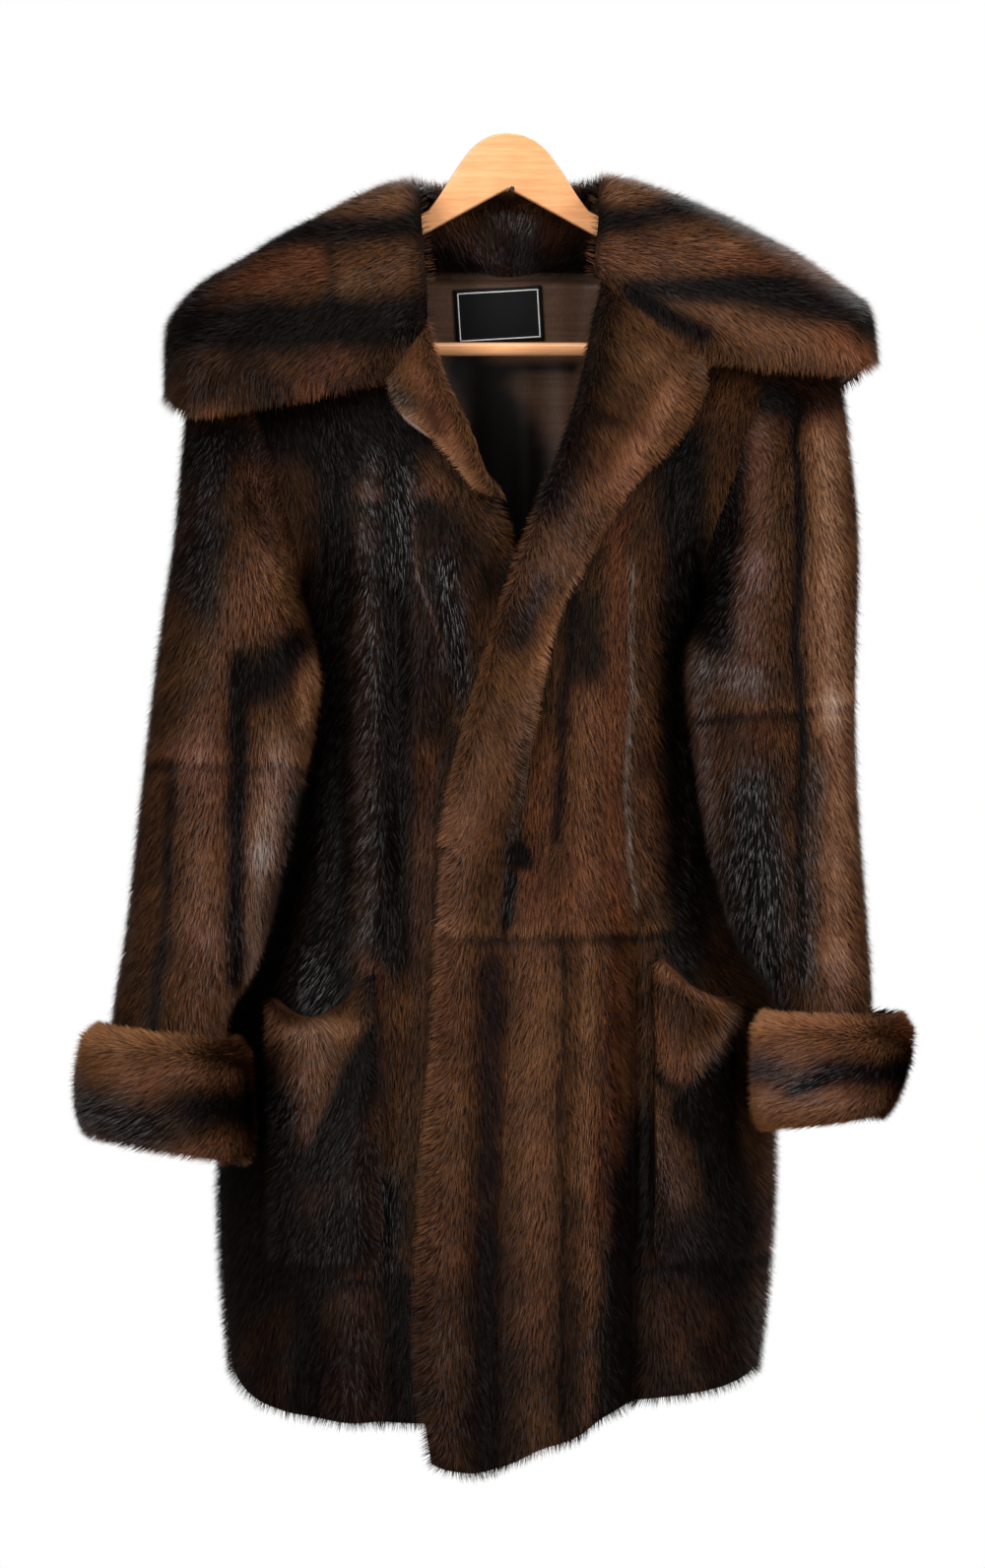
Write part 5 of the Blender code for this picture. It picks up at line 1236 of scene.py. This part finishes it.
# ---------------------------------------------------------------- materials
class Nodes:
    """A material's nodes, added and joined by short calls."""

    def __init__(self, name, roughness, specular=0.5):
        self.made = bpy.data.materials.new(name)
        self.made.use_nodes = True
        self.tree = self.made.node_tree
        self.shader = self.tree.nodes["Principled BSDF"]
        self.shader.inputs["Roughness"].default_value = roughness
        self.shader.inputs["Specular IOR Level"].default_value = specular

    def add(self, kind, inputs=(), **settings):
        node = self.tree.nodes.new(kind)
        for key, value in settings.items():
            setattr(node, key, value)
        for key, value in dict(inputs).items():
            if isinstance(value, bpy.types.NodeSocket):
                self.tree.links.new(value, node.inputs[key])
            else:
                node.inputs[key].default_value = value
        return node

    def math(self, operation, *values, clamp=False):
        return self.add("ShaderNodeMath", dict(enumerate(values)), operation=operation,
                        use_clamp=clamp).outputs[0]

    def mix(self, factor, a, b, blend="MIX"):
        node = self.add("ShaderNodeMix", data_type="RGBA", blend_type=blend)
        for socket, value in ((node.inputs[0], factor), (node.inputs[6], a), (node.inputs[7], b)):
            if isinstance(value, bpy.types.NodeSocket):
                self.tree.links.new(value, socket)
            else:
                socket.default_value = value
        return node.outputs[2]

    def attribute(self, name, output="Vector"):
        return self.add("ShaderNodeAttribute", attribute_name=name).outputs[output]

    def parts(self, vector):
        return self.add("ShaderNodeSeparateXYZ", {0: vector}).outputs

    def ramp(self, factor, stops):
        node = self.add("ShaderNodeValToRGB", {0: factor})
        elements = node.color_ramp.elements
        while len(elements) < len(stops):
            elements.new(0.5)
        for element, (place, colour) in zip(elements, stops):
            element.position = place
            element.color = (*colour, 1)
        return node.outputs[0]

    def noise(self, vector, scale, detail=2.0, rough=0.5):
        return self.add("ShaderNodeTexNoise", {"Vector": vector, "Scale": scale, "Detail": detail,
                                               "Roughness": rough}).outputs["Fac"]

    def place(self, scale=(1, 1, 1)):
        coordinates = self.add("ShaderNodeTexCoord").outputs["Object"]
        return self.add("ShaderNodeMapping", {"Vector": coordinates, "Scale": scale}).outputs[0]

    def bump(self, height, strength, distance):
        node = self.add("ShaderNodeBump", {"Height": height, "Strength": strength,
                                           "Distance": distance})
        self.link(node.outputs[0], "Normal")

    def link(self, socket, name):
        self.tree.links.new(socket, self.shader.inputs[name])

    def paint(self, factor, *stops):
        """The surface's colour, from a ramp."""
        self.link(self.ramp(factor, stops), "Base Color")


# Fur colours from the darkest to the lightest tone: golden brown, red-brown and glossy black;
# the glossy black's grey upper end is painted sheen on dark fur.
GOLD_FUR = ((0.0, (0.0020, 0.0010, 0.0006)), (0.13, (0.0075, 0.0035, 0.0018)),
            (0.26, (0.0240, 0.0106, 0.0042)), (0.42, (0.080, 0.0330, 0.0105)),
            (0.60, (0.210, 0.0880, 0.0265)), (0.80, (0.42, 0.205, 0.072)), (1.0, (0.62, 0.39, 0.20)))
RED_FUR = ((0.0, (0.0022, 0.0009, 0.0006)), (0.13, (0.0085, 0.0027, 0.0015)),
           (0.26, (0.0280, 0.0080, 0.0036)), (0.42, (0.086, 0.0250, 0.0092)),
           (0.60, (0.215, 0.0690, 0.0235)), (0.80, (0.42, 0.170, 0.066)), (1.0, (0.62, 0.36, 0.19)))
BLACK_FUR = ((0.0, (0.0018, 0.0012, 0.0013)), (0.26, (0.0120, 0.0082, 0.0078)),
             (0.42, (0.039, 0.0280, 0.0265)), (0.70, (0.13, 0.108, 0.106)), (1.0, (0.40, 0.37, 0.37)))
# The colour of the painted highlight that whitens the middle of glossy guard hairs.
PAINTED_GLINT = (0.29, 0.265, 0.27, 1)
FUR_SPECULAR = 0.04
HAIR_GAIN, MID_HEIGHT = 0.42, 0.42      # how much lighter a hair gets, and where it has its tone
HAIR_SCATTER = 0.36                     # how far tones differ from hair to hair
SCATTER_SHARE = (2.6, 0.22)             # how fast both grow with the tone, and from what share
# The glint turns brown fur towards glossy black: dark fur with painted sheen.
BLACK_SHARE = 0.7                       # how far the sheen turns brown fur to black
# the painted highlight that every guard hair gets at least
LEAST_GLINT = 0.03


def fur_nodes(name, roughness, gain):
    """Fur colour by the pelt's tone; gain says how much lighter a hair gets from root to tip."""
    nodes = Nodes(name, roughness, FUR_SPECULAR)
    tone, warmth, sheen = nodes.parts(nodes.attribute("pelt"))
    if gain:
        height, chance, gloss = nodes.parts(nodes.attribute("strand"))
        lift = nodes.math("MULTIPLY_ADD", height, gain, -MID_HEIGHT * gain)
        scatter = nodes.math("MULTIPLY_ADD", chance, HAIR_SCATTER, -HAIR_SCATTER / 2)
        spread = nodes.math("MULTIPLY_ADD", tone, *SCATTER_SHARE, clamp=True)
        change = nodes.math("MULTIPLY", nodes.math("ADD", lift, scatter), spread)
        tone = nodes.math("ADD", tone, change, clamp=True)
    colour = nodes.mix(warmth, nodes.ramp(tone, GOLD_FUR), nodes.ramp(tone, RED_FUR))
    # Dark fur with painted sheen: the pelt's glint turns the colour towards the black ramp.
    blackness = nodes.math("MULTIPLY", sheen, BLACK_SHARE, clamp=True)
    colour = nodes.mix(blackness, colour, nodes.ramp(tone, BLACK_FUR))
    # Painted highlight: the middle of each guard hair is whitened towards the glint colour, more where
    # the pelt's glint is high.
    if gain:
        middle = nodes.math("MULTIPLY", height, nodes.math("SUBTRACT", 1.0, height))
        middle = nodes.math("MULTIPLY", middle, 4.0)
        shiny = nodes.math("MULTIPLY", nodes.math("ADD", sheen, LEAST_GLINT), gloss)
        colour = nodes.mix(nodes.math("MULTIPLY", shiny, middle, clamp=True), colour, PAINTED_GLINT)
    return nodes, colour


def fur_material():
    nodes, colour = fur_nodes("fur_hair", 0.38, HAIR_GAIN)
    nodes.link(colour, "Base Color")
    return nodes.made


def underfur_material():
    """The woolly underfur that shows between the hairs."""
    nodes, colour = fur_nodes("fur_under", 0.8, 0)
    fluff = nodes.noise(nodes.place(), 900, 4)
    shade = nodes.ramp(fluff, ((0.3, (0.26, 0.25, 0.25)), (0.7, (0.62, 0.60, 0.60))))
    nodes.link(nodes.mix(1.0, colour, shade, "MULTIPLY"), "Base Color")
    nodes.bump(fluff, 0.6, 0.0008)
    return nodes.made


# The colour of the lining's painted shadow.
LINING_SHADOW_COLOUR = (0.0015, 0.0010, 0.0008, 1)


def satin_material():
    """Brown satin: close upright warp, faint bars across, long soft lights and deep folds, with painted
    shadow where it folds away into the neck.
    """
    nodes = Nodes("satin_lining", 0.36, 0.25)
    warp = nodes.noise(nodes.place((2600, 2600, 60)), 1, 2)
    bars = nodes.noise(nodes.place((14, 14, 420)), 1, 3)
    cloud = nodes.noise(nodes.place(), 14, 3)
    thread = nodes.math("MULTIPLY_ADD", warp, 0.35, nodes.math("MULTIPLY", bars, 0.25))
    colour = nodes.ramp(thread, ((0.15, (0.030, 0.0140, 0.0080)), (0.45, (0.105, 0.053, 0.030))))
    cloud = nodes.ramp(cloud, ((0.3, (0.8, 0.8, 0.8)), (0.7, (1.1, 1.08, 1.05))))
    colour = nodes.mix(1.0, colour, cloud, "MULTIPLY")
    # Painted shadow: the 'depth' attribute darkens the satin where it folds away into the neck.
    dark = nodes.mix(nodes.attribute("depth", "Fac"), colour, LINING_SHADOW_COLOUR)
    nodes.link(dark, "Base Color")
    nodes.link(nodes.math("MULTIPLY_ADD", bars, 0.2, 0.30), "Roughness")
    nodes.shader.inputs["Anisotropic"].default_value = 0.5
    nodes.bump(thread, 0.25, 0.0003)
    return nodes.made


def leather_material():
    """The tanned skin side that shows along a turned edge."""
    nodes = Nodes("pelt_leather", 0.6)
    grain = nodes.noise(nodes.place(), 700, 4)
    nodes.paint(grain, (0.3, (0.075, 0.042, 0.034)), (0.7, (0.135, 0.082, 0.068)))
    nodes.bump(grain, 0.4, 0.0003)
    return nodes.made


def label_material():
    """A close dark weave: two sets of threads, up and across."""
    nodes = Nodes("label_weave", 0.7, 0.15)
    weft, warp = (
        nodes.add("ShaderNodeTexWave", {"Vector": nodes.place(), "Scale": 420.0, "Distortion": 0.4},
                  bands_direction=direction).outputs["Fac"] for direction in ("Z", "X"))
    weave = nodes.math("MULTIPLY", weft, warp)
    nodes.paint(weave, (0.0, (0.0026, 0.0027, 0.0032)), (1.0, (0.009, 0.0095, 0.011)))
    nodes.bump(weave, 0.35, 0.0002)
    return nodes.made


def thread_material():
    nodes = Nodes("label_thread", 0.5)
    twist = nodes.noise(nodes.place(), 1600, 2)
    nodes.paint(twist, (0.3, (0.55, 0.53, 0.50)), (0.7, (0.86, 0.85, 0.82)))
    return nodes.made


def wood_material():
    """Lacquered maple: grain lines along each arm from the 'grain' places, with soft patches."""
    nodes = Nodes("hanger_wood", 0.30, 0.5)
    grain = nodes.attribute("grain")
    lines, fine = (nodes.add("ShaderNodeMapping", {"Vector": grain, "Scale": scale}).outputs[0]
                   for scale in ((9, 260, 260), (60, 1900, 1900)))
    rings = nodes.noise(lines, 1.0, 5, 0.62)
    pores = nodes.noise(fine, 1.0, 2)
    cloud = nodes.noise(grain, 22, 2)
    tone = nodes.math("ADD", nodes.math("MULTIPLY", rings, 0.62), nodes.math("MULTIPLY", cloud, 0.4))
    colour = nodes.ramp(tone, ((0.34, (0.66, 0.275, 0.112)), (0.5, (0.77, 0.355, 0.150)),
                               (0.66, (0.84, 0.43, 0.20))))
    specks = nodes.ramp(pores, ((0.3, (0.86, 0.82, 0.78)), (0.55, (1, 1, 1))))
    nodes.link(nodes.mix(1.0, colour, specks, "MULTIPLY"), "Base Color")
    nodes.shader.inputs["Coat Weight"].default_value = 0.35
    nodes.shader.inputs["Coat Roughness"].default_value = 0.18
    nodes.bump(rings, 0.06, 0.0005)
    return nodes.made


# The hole's dark colour is painted shade, standing in for the shadow inside the hole.
def hole_shade_material():
    nodes = Nodes("hanger_hole_shade", 0.8)
    hole_shade = nodes.noise(nodes.place(), 900, 3)
    nodes.paint(hole_shade, (0.3, (0.010, 0.006, 0.004)), (0.7, (0.035, 0.020, 0.012)))
    return nodes.made


# ---------------------------------------------------------------- lining, label and hanger
def lining_cloth():
    """The back lining's grid, its folds let out from the back's own smooth form."""
    down = np.concatenate([np.linspace(0, 0.12, 16), np.linspace(0.12, 1, 50)[1:]])[:, None]
    across = np.linspace(-1, 1, 60)[None, :]
    z = LINING_TOP + (LINING_FOOT - LINING_TOP) * down + 0 * across
    half_width = np.interp(-z, [-LINING_TOP, 170, 300, -LINING_FOOT],
                           (LINING_NECK_HALF, *LINING_HALF_WIDTHS[1:]))
    x = half_width * across + LINING_SHIFT
    base, normal = on_panel(unfolded_back, x, z, 1)
    clear = FUR / 2 + LAY_GAP + SATIN / 2 + LINING_SLACK * step(-200, -420, z)
    drape = np.zeros_like(x)
    for fold in LINING_FOLDS:
        centre = fold["x_top"] + (fold["x_low"] - fold["x_top"]) * down
        deep = step(LINING_TOP - 10, LINING_TOP - 120, z) * 0.7 + 0.3
        drape += fold["height"] * deep * np.exp(-((x - centre) / fold["width"]) ** 2)
    points = base - normal * clear[..., None]
    points[..., 1] -= drape
    return points, -normals(points)


def label_cloth():
    """The label's middle surface, a little bowed."""
    across, up = np.meshgrid(np.linspace(-0.5, 0.5, 30), np.linspace(0.5, -0.5, 20))
    return label_points(across * LABEL_SIZE[0], up * LABEL_SIZE[1], 0.0)


def label_points(side, rise, forward):
    """Points of the label by their place on it, and its outward (forward) normals."""
    x = LABEL_CENTRE[0] + side * math.cos(LABEL_TILT) - rise * math.sin(LABEL_TILT)
    z = (LABEL_CENTRE[1] + LABEL_RISE + side * math.sin(LABEL_TILT)
         + rise * math.cos(LABEL_TILT))
    base, normal = on_panel(back, x, z, 1)
    inward = FUR / 2 + LAY_GAP + SATIN + SEAM_GAP + LABEL_STAND_OFF + LABEL_THICKNESS / 2
    bow = LABEL_BOW * (side / LABEL_SIZE[0] * 2) ** 2
    return base - normal * (inward + forward - bow + LABEL_LIFT)[..., None], -normal


def label_border(surface):
    """A thin woven line just inside the label's edge."""
    half_width, half_height = LABEL_SIZE[0] / 2 - BORDER_INSET, LABEL_SIZE[1] / 2 - BORDER_INSET
    corners = [(-half_width, half_height), (half_width, half_height),
               (half_width, -half_height), (-half_width, -half_height)]
    loops = []
    for grow in (-BORDER_WIDTH / 2, BORDER_WIDTH / 2):
        path = []
        for (x0, z0), (x1, z1) in zip(corners, corners[1:] + corners[:1]):
            for t in np.linspace(0, 1, 16, endpoint=False):
                x, z = x0 + (x1 - x0) * t, z0 + (z1 - z0) * t
                path.append((x + grow * np.sign(x) * (abs(x) > half_width - 1e-6),
                             z + grow * np.sign(z) * (abs(z) > half_height - 1e-6)))
        loops.append(np.array(path))
    inner, outer = loops
    rings = []
    for loop, forward in ((inner, BORDER_BACK), (inner, BORDER_FACE), (outer, BORDER_FACE),
                          (outer, BORDER_BACK)):
        rings.append(label_points(loop[None, :, 0], loop[None, :, 1], forward)[0][0])
    vertices = np.concatenate(rings)
    count = len(inner)
    faces = []
    for r in range(4):
        for c in range(count):
            a, b = r * count + c, r * count + (c + 1) % count
            d, e = (r + 1) % 4 * count + c, (r + 1) % 4 * count + (c + 1) % count
            faces.append((a, d, e, b))
    spots = flat_spots(vertices, np.array(faces))
    return mesh_object("label_border", vertices, np.ravel(faces), 4, [surface], spots)


def flat_spots(vertices, faces):
    """Places on the map for a small piece: its front view fitted to the unit square."""
    flat = vertices[:, (0, 2)]
    low, high = flat.min(axis=0), flat.max(axis=0)
    return ((flat - low) / (high - low))[faces.ravel()]


def turns(count):
    """Angles of points round a circle."""
    return 2 * math.pi * np.arange(count) / count


def ring_mesh(name, rings, surface, grain=(1, 1, 1)):
    """A closed solid through rings of points, its ends capped; grain scales the wood's places."""
    rings = np.asarray(rings, float)
    steps, count = rings.shape[:2]
    vertices = rings.reshape(-1, 3)
    faces = []
    for r in range(steps - 1):
        for c in range(count):
            a, b = r * count + c, r * count + (c + 1) % count
            faces.append((a, b, b + count, a + count))
    mesh = bpy.data.meshes.new(name)
    caps = [tuple(range(count))[::-1], tuple(range((steps - 1) * count, steps * count))]
    mesh.from_pydata([tuple(v * MM) for v in vertices], [], faces + caps)
    mesh.materials.append(surface)
    mesh.shade_smooth()
    made = bpy.data.objects.new(name, mesh)
    bpy.context.collection.objects.link(made)
    vertex_values(made, "grain", vertices * grain * MM)
    return made


def hanger(surface):
    """The rounded plank: its crown and two arms."""
    reach = np.concatenate([np.linspace(0, 61, 22), np.linspace(65, 180, 24),
                            [184.5, 189, 191, 195, 198, 201, 203, 205, 206]])
    x = np.concatenate([-reach[:0:-1], reach])
    slope = (TIP_Z - NECK_Z) / (TIP_X - NECK_X)
    crown_end = CROWN["x"][-1]
    arm_top = CROWN["z"][-1] + (np.abs(x) - crown_end) * slope
    top = np.where(np.abs(x) > crown_end, arm_top, smooth(CROWN["x"], CROWN["z"], np.abs(x)))
    foot = np.interp(np.abs(x), HANGER_FOOT["x"], (*CROWN_FOOT, *HANGER_FOOT["z"][2:]))
    angle = 2 * math.pi * (np.arange(HANGER_SIDES) + 0.5) / HANGER_SIDES
    rings = []
    for i in range(len(x)):
        middle, half = (top[i] + foot[i]) / 2, (top[i] - foot[i]) / 2
        share = TIP_THINNING["share"] if abs(x[i]) > TIP_THINNING["beyond"] else 1.0
        thick = HANGER_HALF_THICKNESS * share
        corner = min(EDGE_ROUNDING, thick, half)
        rings.append(np.stack([
            np.full(len(angle), x[i]), np.sign(np.cos(angle)) * (thick - corner) + corner * np.cos(angle),
            middle + np.sign(np.sin(angle)) * (half - corner) + corner * np.sin(angle)], axis=1))
    return ring_mesh("hanger_body_wood", rings, surface, grain=(1, 0.12, 1))


def bar(surface):
    """The round trouser bar between the two arms."""
    angle = turns(32)
    rings = [np.stack([np.full(len(angle), x), BAR_RADIUS * np.cos(angle),
                       BAR_Z - BAR_DROP + BAR_RADIUS * np.sin(angle)], axis=1)
             for x in np.linspace(-BAR_HALF_LENGTH, BAR_HALF_LENGTH, 40)]
    return ring_mesh("hanger_bar_wood", rings, surface)


def screw_hole(surface):
    """The small hole under the crown, where a hook's end would show: a dark disc a little proud of the
    wood, its darkness painted shade for the inside of the hole.
    """
    angle = turns(20)
    x = HOLE["x"] + HOLE["radius"] * np.cos(angle)
    z = HOLE["z"] + HOLE["radius"] * np.sin(angle)
    rings = [np.stack([x, np.full(len(angle), y), z], axis=1)
             for y in (-HANGER_HALF_THICKNESS + HOLE["deep"], -HANGER_HALF_THICKNESS - HOLE["proud"])]
    return ring_mesh("hanger_hole_shade", rings, surface)


def lapel_edge_strip(path, surface):
    """The turned leather edge that shows along the lower rim of the right lapel."""
    angle = turns(10)
    along = unit(np.gradient(path, axis=0))
    rings = []
    for p, t, w in zip(path, along, np.sin(np.linspace(0.12, math.pi - 0.12, len(path))) ** 0.5):
        a = unit(np.cross(t, (0, 1, 0)))
        b = np.cross(t, a)
        rings.append(p + w * EDGE_RADIUS * (np.outer(np.cos(angle), a) + np.outer(np.sin(angle), b)))
    return ring_mesh("lapel_right_leather_edge", rings, surface)


# ---------------------------------------------------------------- the coat's pieces
# Each fur piece's grid of points and outward normals.
CLOTH = {
    "back": lambda: body_cloth(back, 1, True, columns=72),
    "front_left": lambda: body_cloth(front_left, 1, False, columns=52, end=FRONT_END),
    "front_right": lambda: body_cloth(front_right, -1, False, columns=46, end=FRONT_END),
    "sleeve_left": lambda: sleeve_cloth("left"),
    "sleeve_right": lambda: sleeve_cloth("right"),
    "cuff_left": lambda: cuff_cloth("left"),
    "cuff_right": lambda: cuff_cloth("right"),
    "collar": collar_cloth,
    "collar_stand": lambda: stand_cloth(collar_cloth()[0]),
    "lapel_left": lambda: lapel_cloth(LEFT_LAPEL, front_left, left_edge, 1, rows=44),
    "lapel_right": lambda: lapel_cloth(RIGHT_LAPEL, front_right, right_edge, -1, rows=26),
    "pocket_left": lambda: pocket_cloth(LEFT_POCKET, front_left, 1),
    "pocket_right": lambda: pocket_cloth(RIGHT_POCKET, front_right, -1),
}
# Hairs and flat cut of each fur piece; the cut is width by length in metres, and its area.
FUR_PIECES = {
    "back": dict(hairs=95000, cut=(0.44, 0.86), area=0.36),
    "front_left": dict(hairs=185000, cut=(0.27, 0.95), area=0.20),
    "front_right": dict(hairs=140000, cut=(0.24, 0.90), area=0.175),
    "sleeve_left": dict(hairs=88000, cut=(0.34, 0.58), area=0.165),
    "sleeve_right": dict(hairs=92000, cut=(0.34, 0.60), area=0.17),
    "cuff_left": dict(hairs=30000, cut=(0.36, 0.075), area=0.026),
    "cuff_right": dict(hairs=33000, cut=(0.37, 0.075), area=0.027),
    "collar": dict(hairs=118000, cut=(0.80, 0.26), area=0.17),
    "collar_stand": dict(hairs=9000, cut=(0.13, 0.045), area=0.0055),
    "lapel_left": dict(hairs=30000, cut=(0.12, 0.44), area=0.021),
    "lapel_right": dict(hairs=9000, cut=(0.05, 0.13), area=0.0045),
    "pocket_left": dict(hairs=13000, cut=(0.085, 0.23), area=0.016),
    "pocket_right": dict(hairs=16000, cut=(0.10, 0.23), area=0.02),
}
LINED = ("back", "front_left", "front_right", "sleeve_left", "sleeve_right")


def ride(piece, node=None):
    """A piece of the one body, and the solid that it takes the place of."""
    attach(piece, "root")
    if node:
        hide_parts(node)


def lapel_skin(table, rows):
    """How far a lapel's skin goes out and in: no further than half the lapel's thickness."""
    place = np.linspace(0, 1, len(table["thick"]))
    half = np.interp(np.linspace(0, 1, rows), place, table["thick"])[:, None] / 2
    return np.maximum(COLLAR_SKIN_OUT, 1 - half), np.minimum(COLLAR_SKIN_IN, half)


def fur_piece(name, facts, looks):
    """A piece's pelt skin and the hairs that grow on it."""
    points, normal = CLOTH[name]()
    wrap = name.startswith(("sleeve", "cuff"))
    high_pile = name.startswith(("collar", "cuff", "lapel")) and name != "collar_stand"
    out, into = (COLLAR_SKIN_OUT, COLLAR_SKIN_IN) if high_pile else (SKIN_OUT, SKIN_IN)
    root = -ROOT_DEPTH + out
    length = HAIR_LENGTH + (HIGH_PILE if high_pile else 0.0)
    if name.startswith("lapel"):
        out, into = lapel_skin(LEFT_LAPEL if name == "lapel_left" else RIGHT_LAPEL, len(points))
    skin = shell(name + "_skin", points, normal, out, into, [looks["under"], looks["inside"][name]],
                 wrap)
    values = pelt_values(name, points.reshape(-1, 3), normal.reshape(-1, 3))
    vertex_values(skin, "pelt", np.tile(values, (2, 1)))
    coat = hairs(name, points, normal, facts["hairs"], root, looks["hair"], wrap, length)
    ride(skin, name)
    ride(coat, name)
    return points


def build_lining(satin):
    """The satin that shows in the neck, and the label sewn to it."""
    points, normal = lining_cloth()
    lining = shell("lining_satin", points, normal, SATIN / 2, SATIN / 2, [satin, satin])
    # Painted shadow: the lining is painted darker where it folds away into the dark of the neck.
    x, z = picture_place(points.reshape(-1, 3))
    deep = sum(line["deep"] * near_line(line, x, z) for line in LINING_PAINTED_SHADOWS)
    deep = np.clip(LINING_SHADOW_CONTRAST * deep - LINING_SHADOW_THRESHOLD, 0, LINING_DEEPEST_SHADOW)
    vertex_values(lining, "depth", np.tile(deep[:, None], (2, 3)))
    points, normal = label_cloth()
    weave = label_material()
    label = shell("label_patch", points, normal, LABEL_THICKNESS / 2, LABEL_THICKNESS / 2,
                  [weave, weave])
    border = label_border(thread_material())
    ride(lining, "lining")
    ride(label, "label")
    ride(border)


def build_coat():
    satin, leather = satin_material(), leather_material()
    looks = {"hair": fur_material(), "under": underfur_material(),
             "inside": {name: satin if name in LINED else leather for name in FUR_PIECES}}
    for name, facts in FUR_PIECES.items():
        points = fur_piece(name, facts, looks)
        if name == "lapel_right":
            ride(lapel_edge_strip(points[RIM_ROWS, -1] + RIM_SHIFT, leather))
    build_lining(satin)


def build_hanger():
    wood = wood_material()
    ride(hanger(wood), "hanger_body")
    ride(bar(wood), "hanger_bar")
    ride(screw_hole(hole_shade_material()))


# ---------------------------------------------------------------- studio
FLOOR_Z = -1.45
FLOOR_RADIUS = 2.55                     # it ends below the picture
FLOOR_SIDES = 96
FILL = 0.22                             # light from all round; the camera sees plain white
LIGHT_AIM = (0, 0, -0.5)
LIGHTS = (
    dict(name="key", place=(-2.2, -3.0, 1.2), size=(1.6, 2.4), power=135),
    dict(name="rim", place=(2.4, -2.4, 0.9), size=(1.2, 2.4), power=85),
    dict(name="top", place=(0.0, -0.9, 2.6), size=(2.2, 1.4), power=45),
    dict(name="behind", place=(0.9, 2.8, 2.3), size=(2.4, 1.6), power=95),
)


def build_floor():
    mesh = bpy.data.meshes.new("floor")
    rim = [(FLOOR_RADIUS * math.cos(a), FLOOR_RADIUS * math.sin(a), FLOOR_Z) for a in turns(FLOOR_SIDES)]
    mesh.from_pydata(rim, [], [tuple(range(FLOOR_SIDES))])
    nodes = Nodes("floor_paper", 0.9, 0.2)
    speck = nodes.noise(nodes.place(), 40, 3)
    nodes.paint(speck, (0.2, (0.93, 0.93, 0.93)), (0.8, (0.96, 0.96, 0.96)))
    mesh.materials.append(nodes.made)
    floor = bpy.data.objects.new("floor", mesh)
    bpy.context.collection.objects.link(floor)


def build_world():
    """White where the camera looks past the coat, and a weak fill light everywhere else."""
    world = bpy.data.worlds.new("studio")
    bpy.context.scene.world = world
    world.use_nodes = True
    tree = world.node_tree
    background = tree.nodes["Background"]
    background.inputs["Color"].default_value = (1, 1, 1, 1)
    rays = tree.nodes.new("ShaderNodeLightPath")
    strength = tree.nodes.new("ShaderNodeMath")
    strength.operation = "MULTIPLY_ADD"
    strength.inputs[1].default_value = 1.0 - FILL
    strength.inputs[2].default_value = FILL
    tree.links.new(rays.outputs["Is Camera Ray"], strength.inputs[0])
    tree.links.new(strength.outputs[0], background.inputs["Strength"])


def area_light(name, place, size, power):
    data = bpy.data.lights.new(name, "AREA")
    data.shape = "RECTANGLE"
    data.size, data.size_y = size
    data.energy = power
    lamp = bpy.data.objects.new(name, data)
    lamp.location = place
    run = np.array(LIGHT_AIM, float) - np.array(place, float)
    flat = math.hypot(run[0], run[1])
    lamp.rotation_euler = (math.atan2(flat, -run[2]), 0, math.atan2(-run[0], run[1]))
    bpy.context.collection.objects.link(lamp)


def build_camera():
    data = bpy.data.cameras.new("camera")
    data.sensor_fit = "VERTICAL"
    data.lens = data.sensor_height * VIEW_DISTANCE / PICTURE_HEIGHT
    camera = bpy.data.objects.new("camera", data)
    camera.location = (CAMERA_X * MM, -VIEW_DISTANCE * MM, CAMERA_Z * MM)
    camera.rotation_euler = (math.pi / 2, 0, 0)
    bpy.context.collection.objects.link(camera)
    bpy.context.scene.camera = camera
    bpy.context.scene.view_settings.view_transform = "Standard"


build_coat()
build_hanger()
build_floor()
build_world()
for light in LIGHTS:
    area_light(**light)
build_camera()
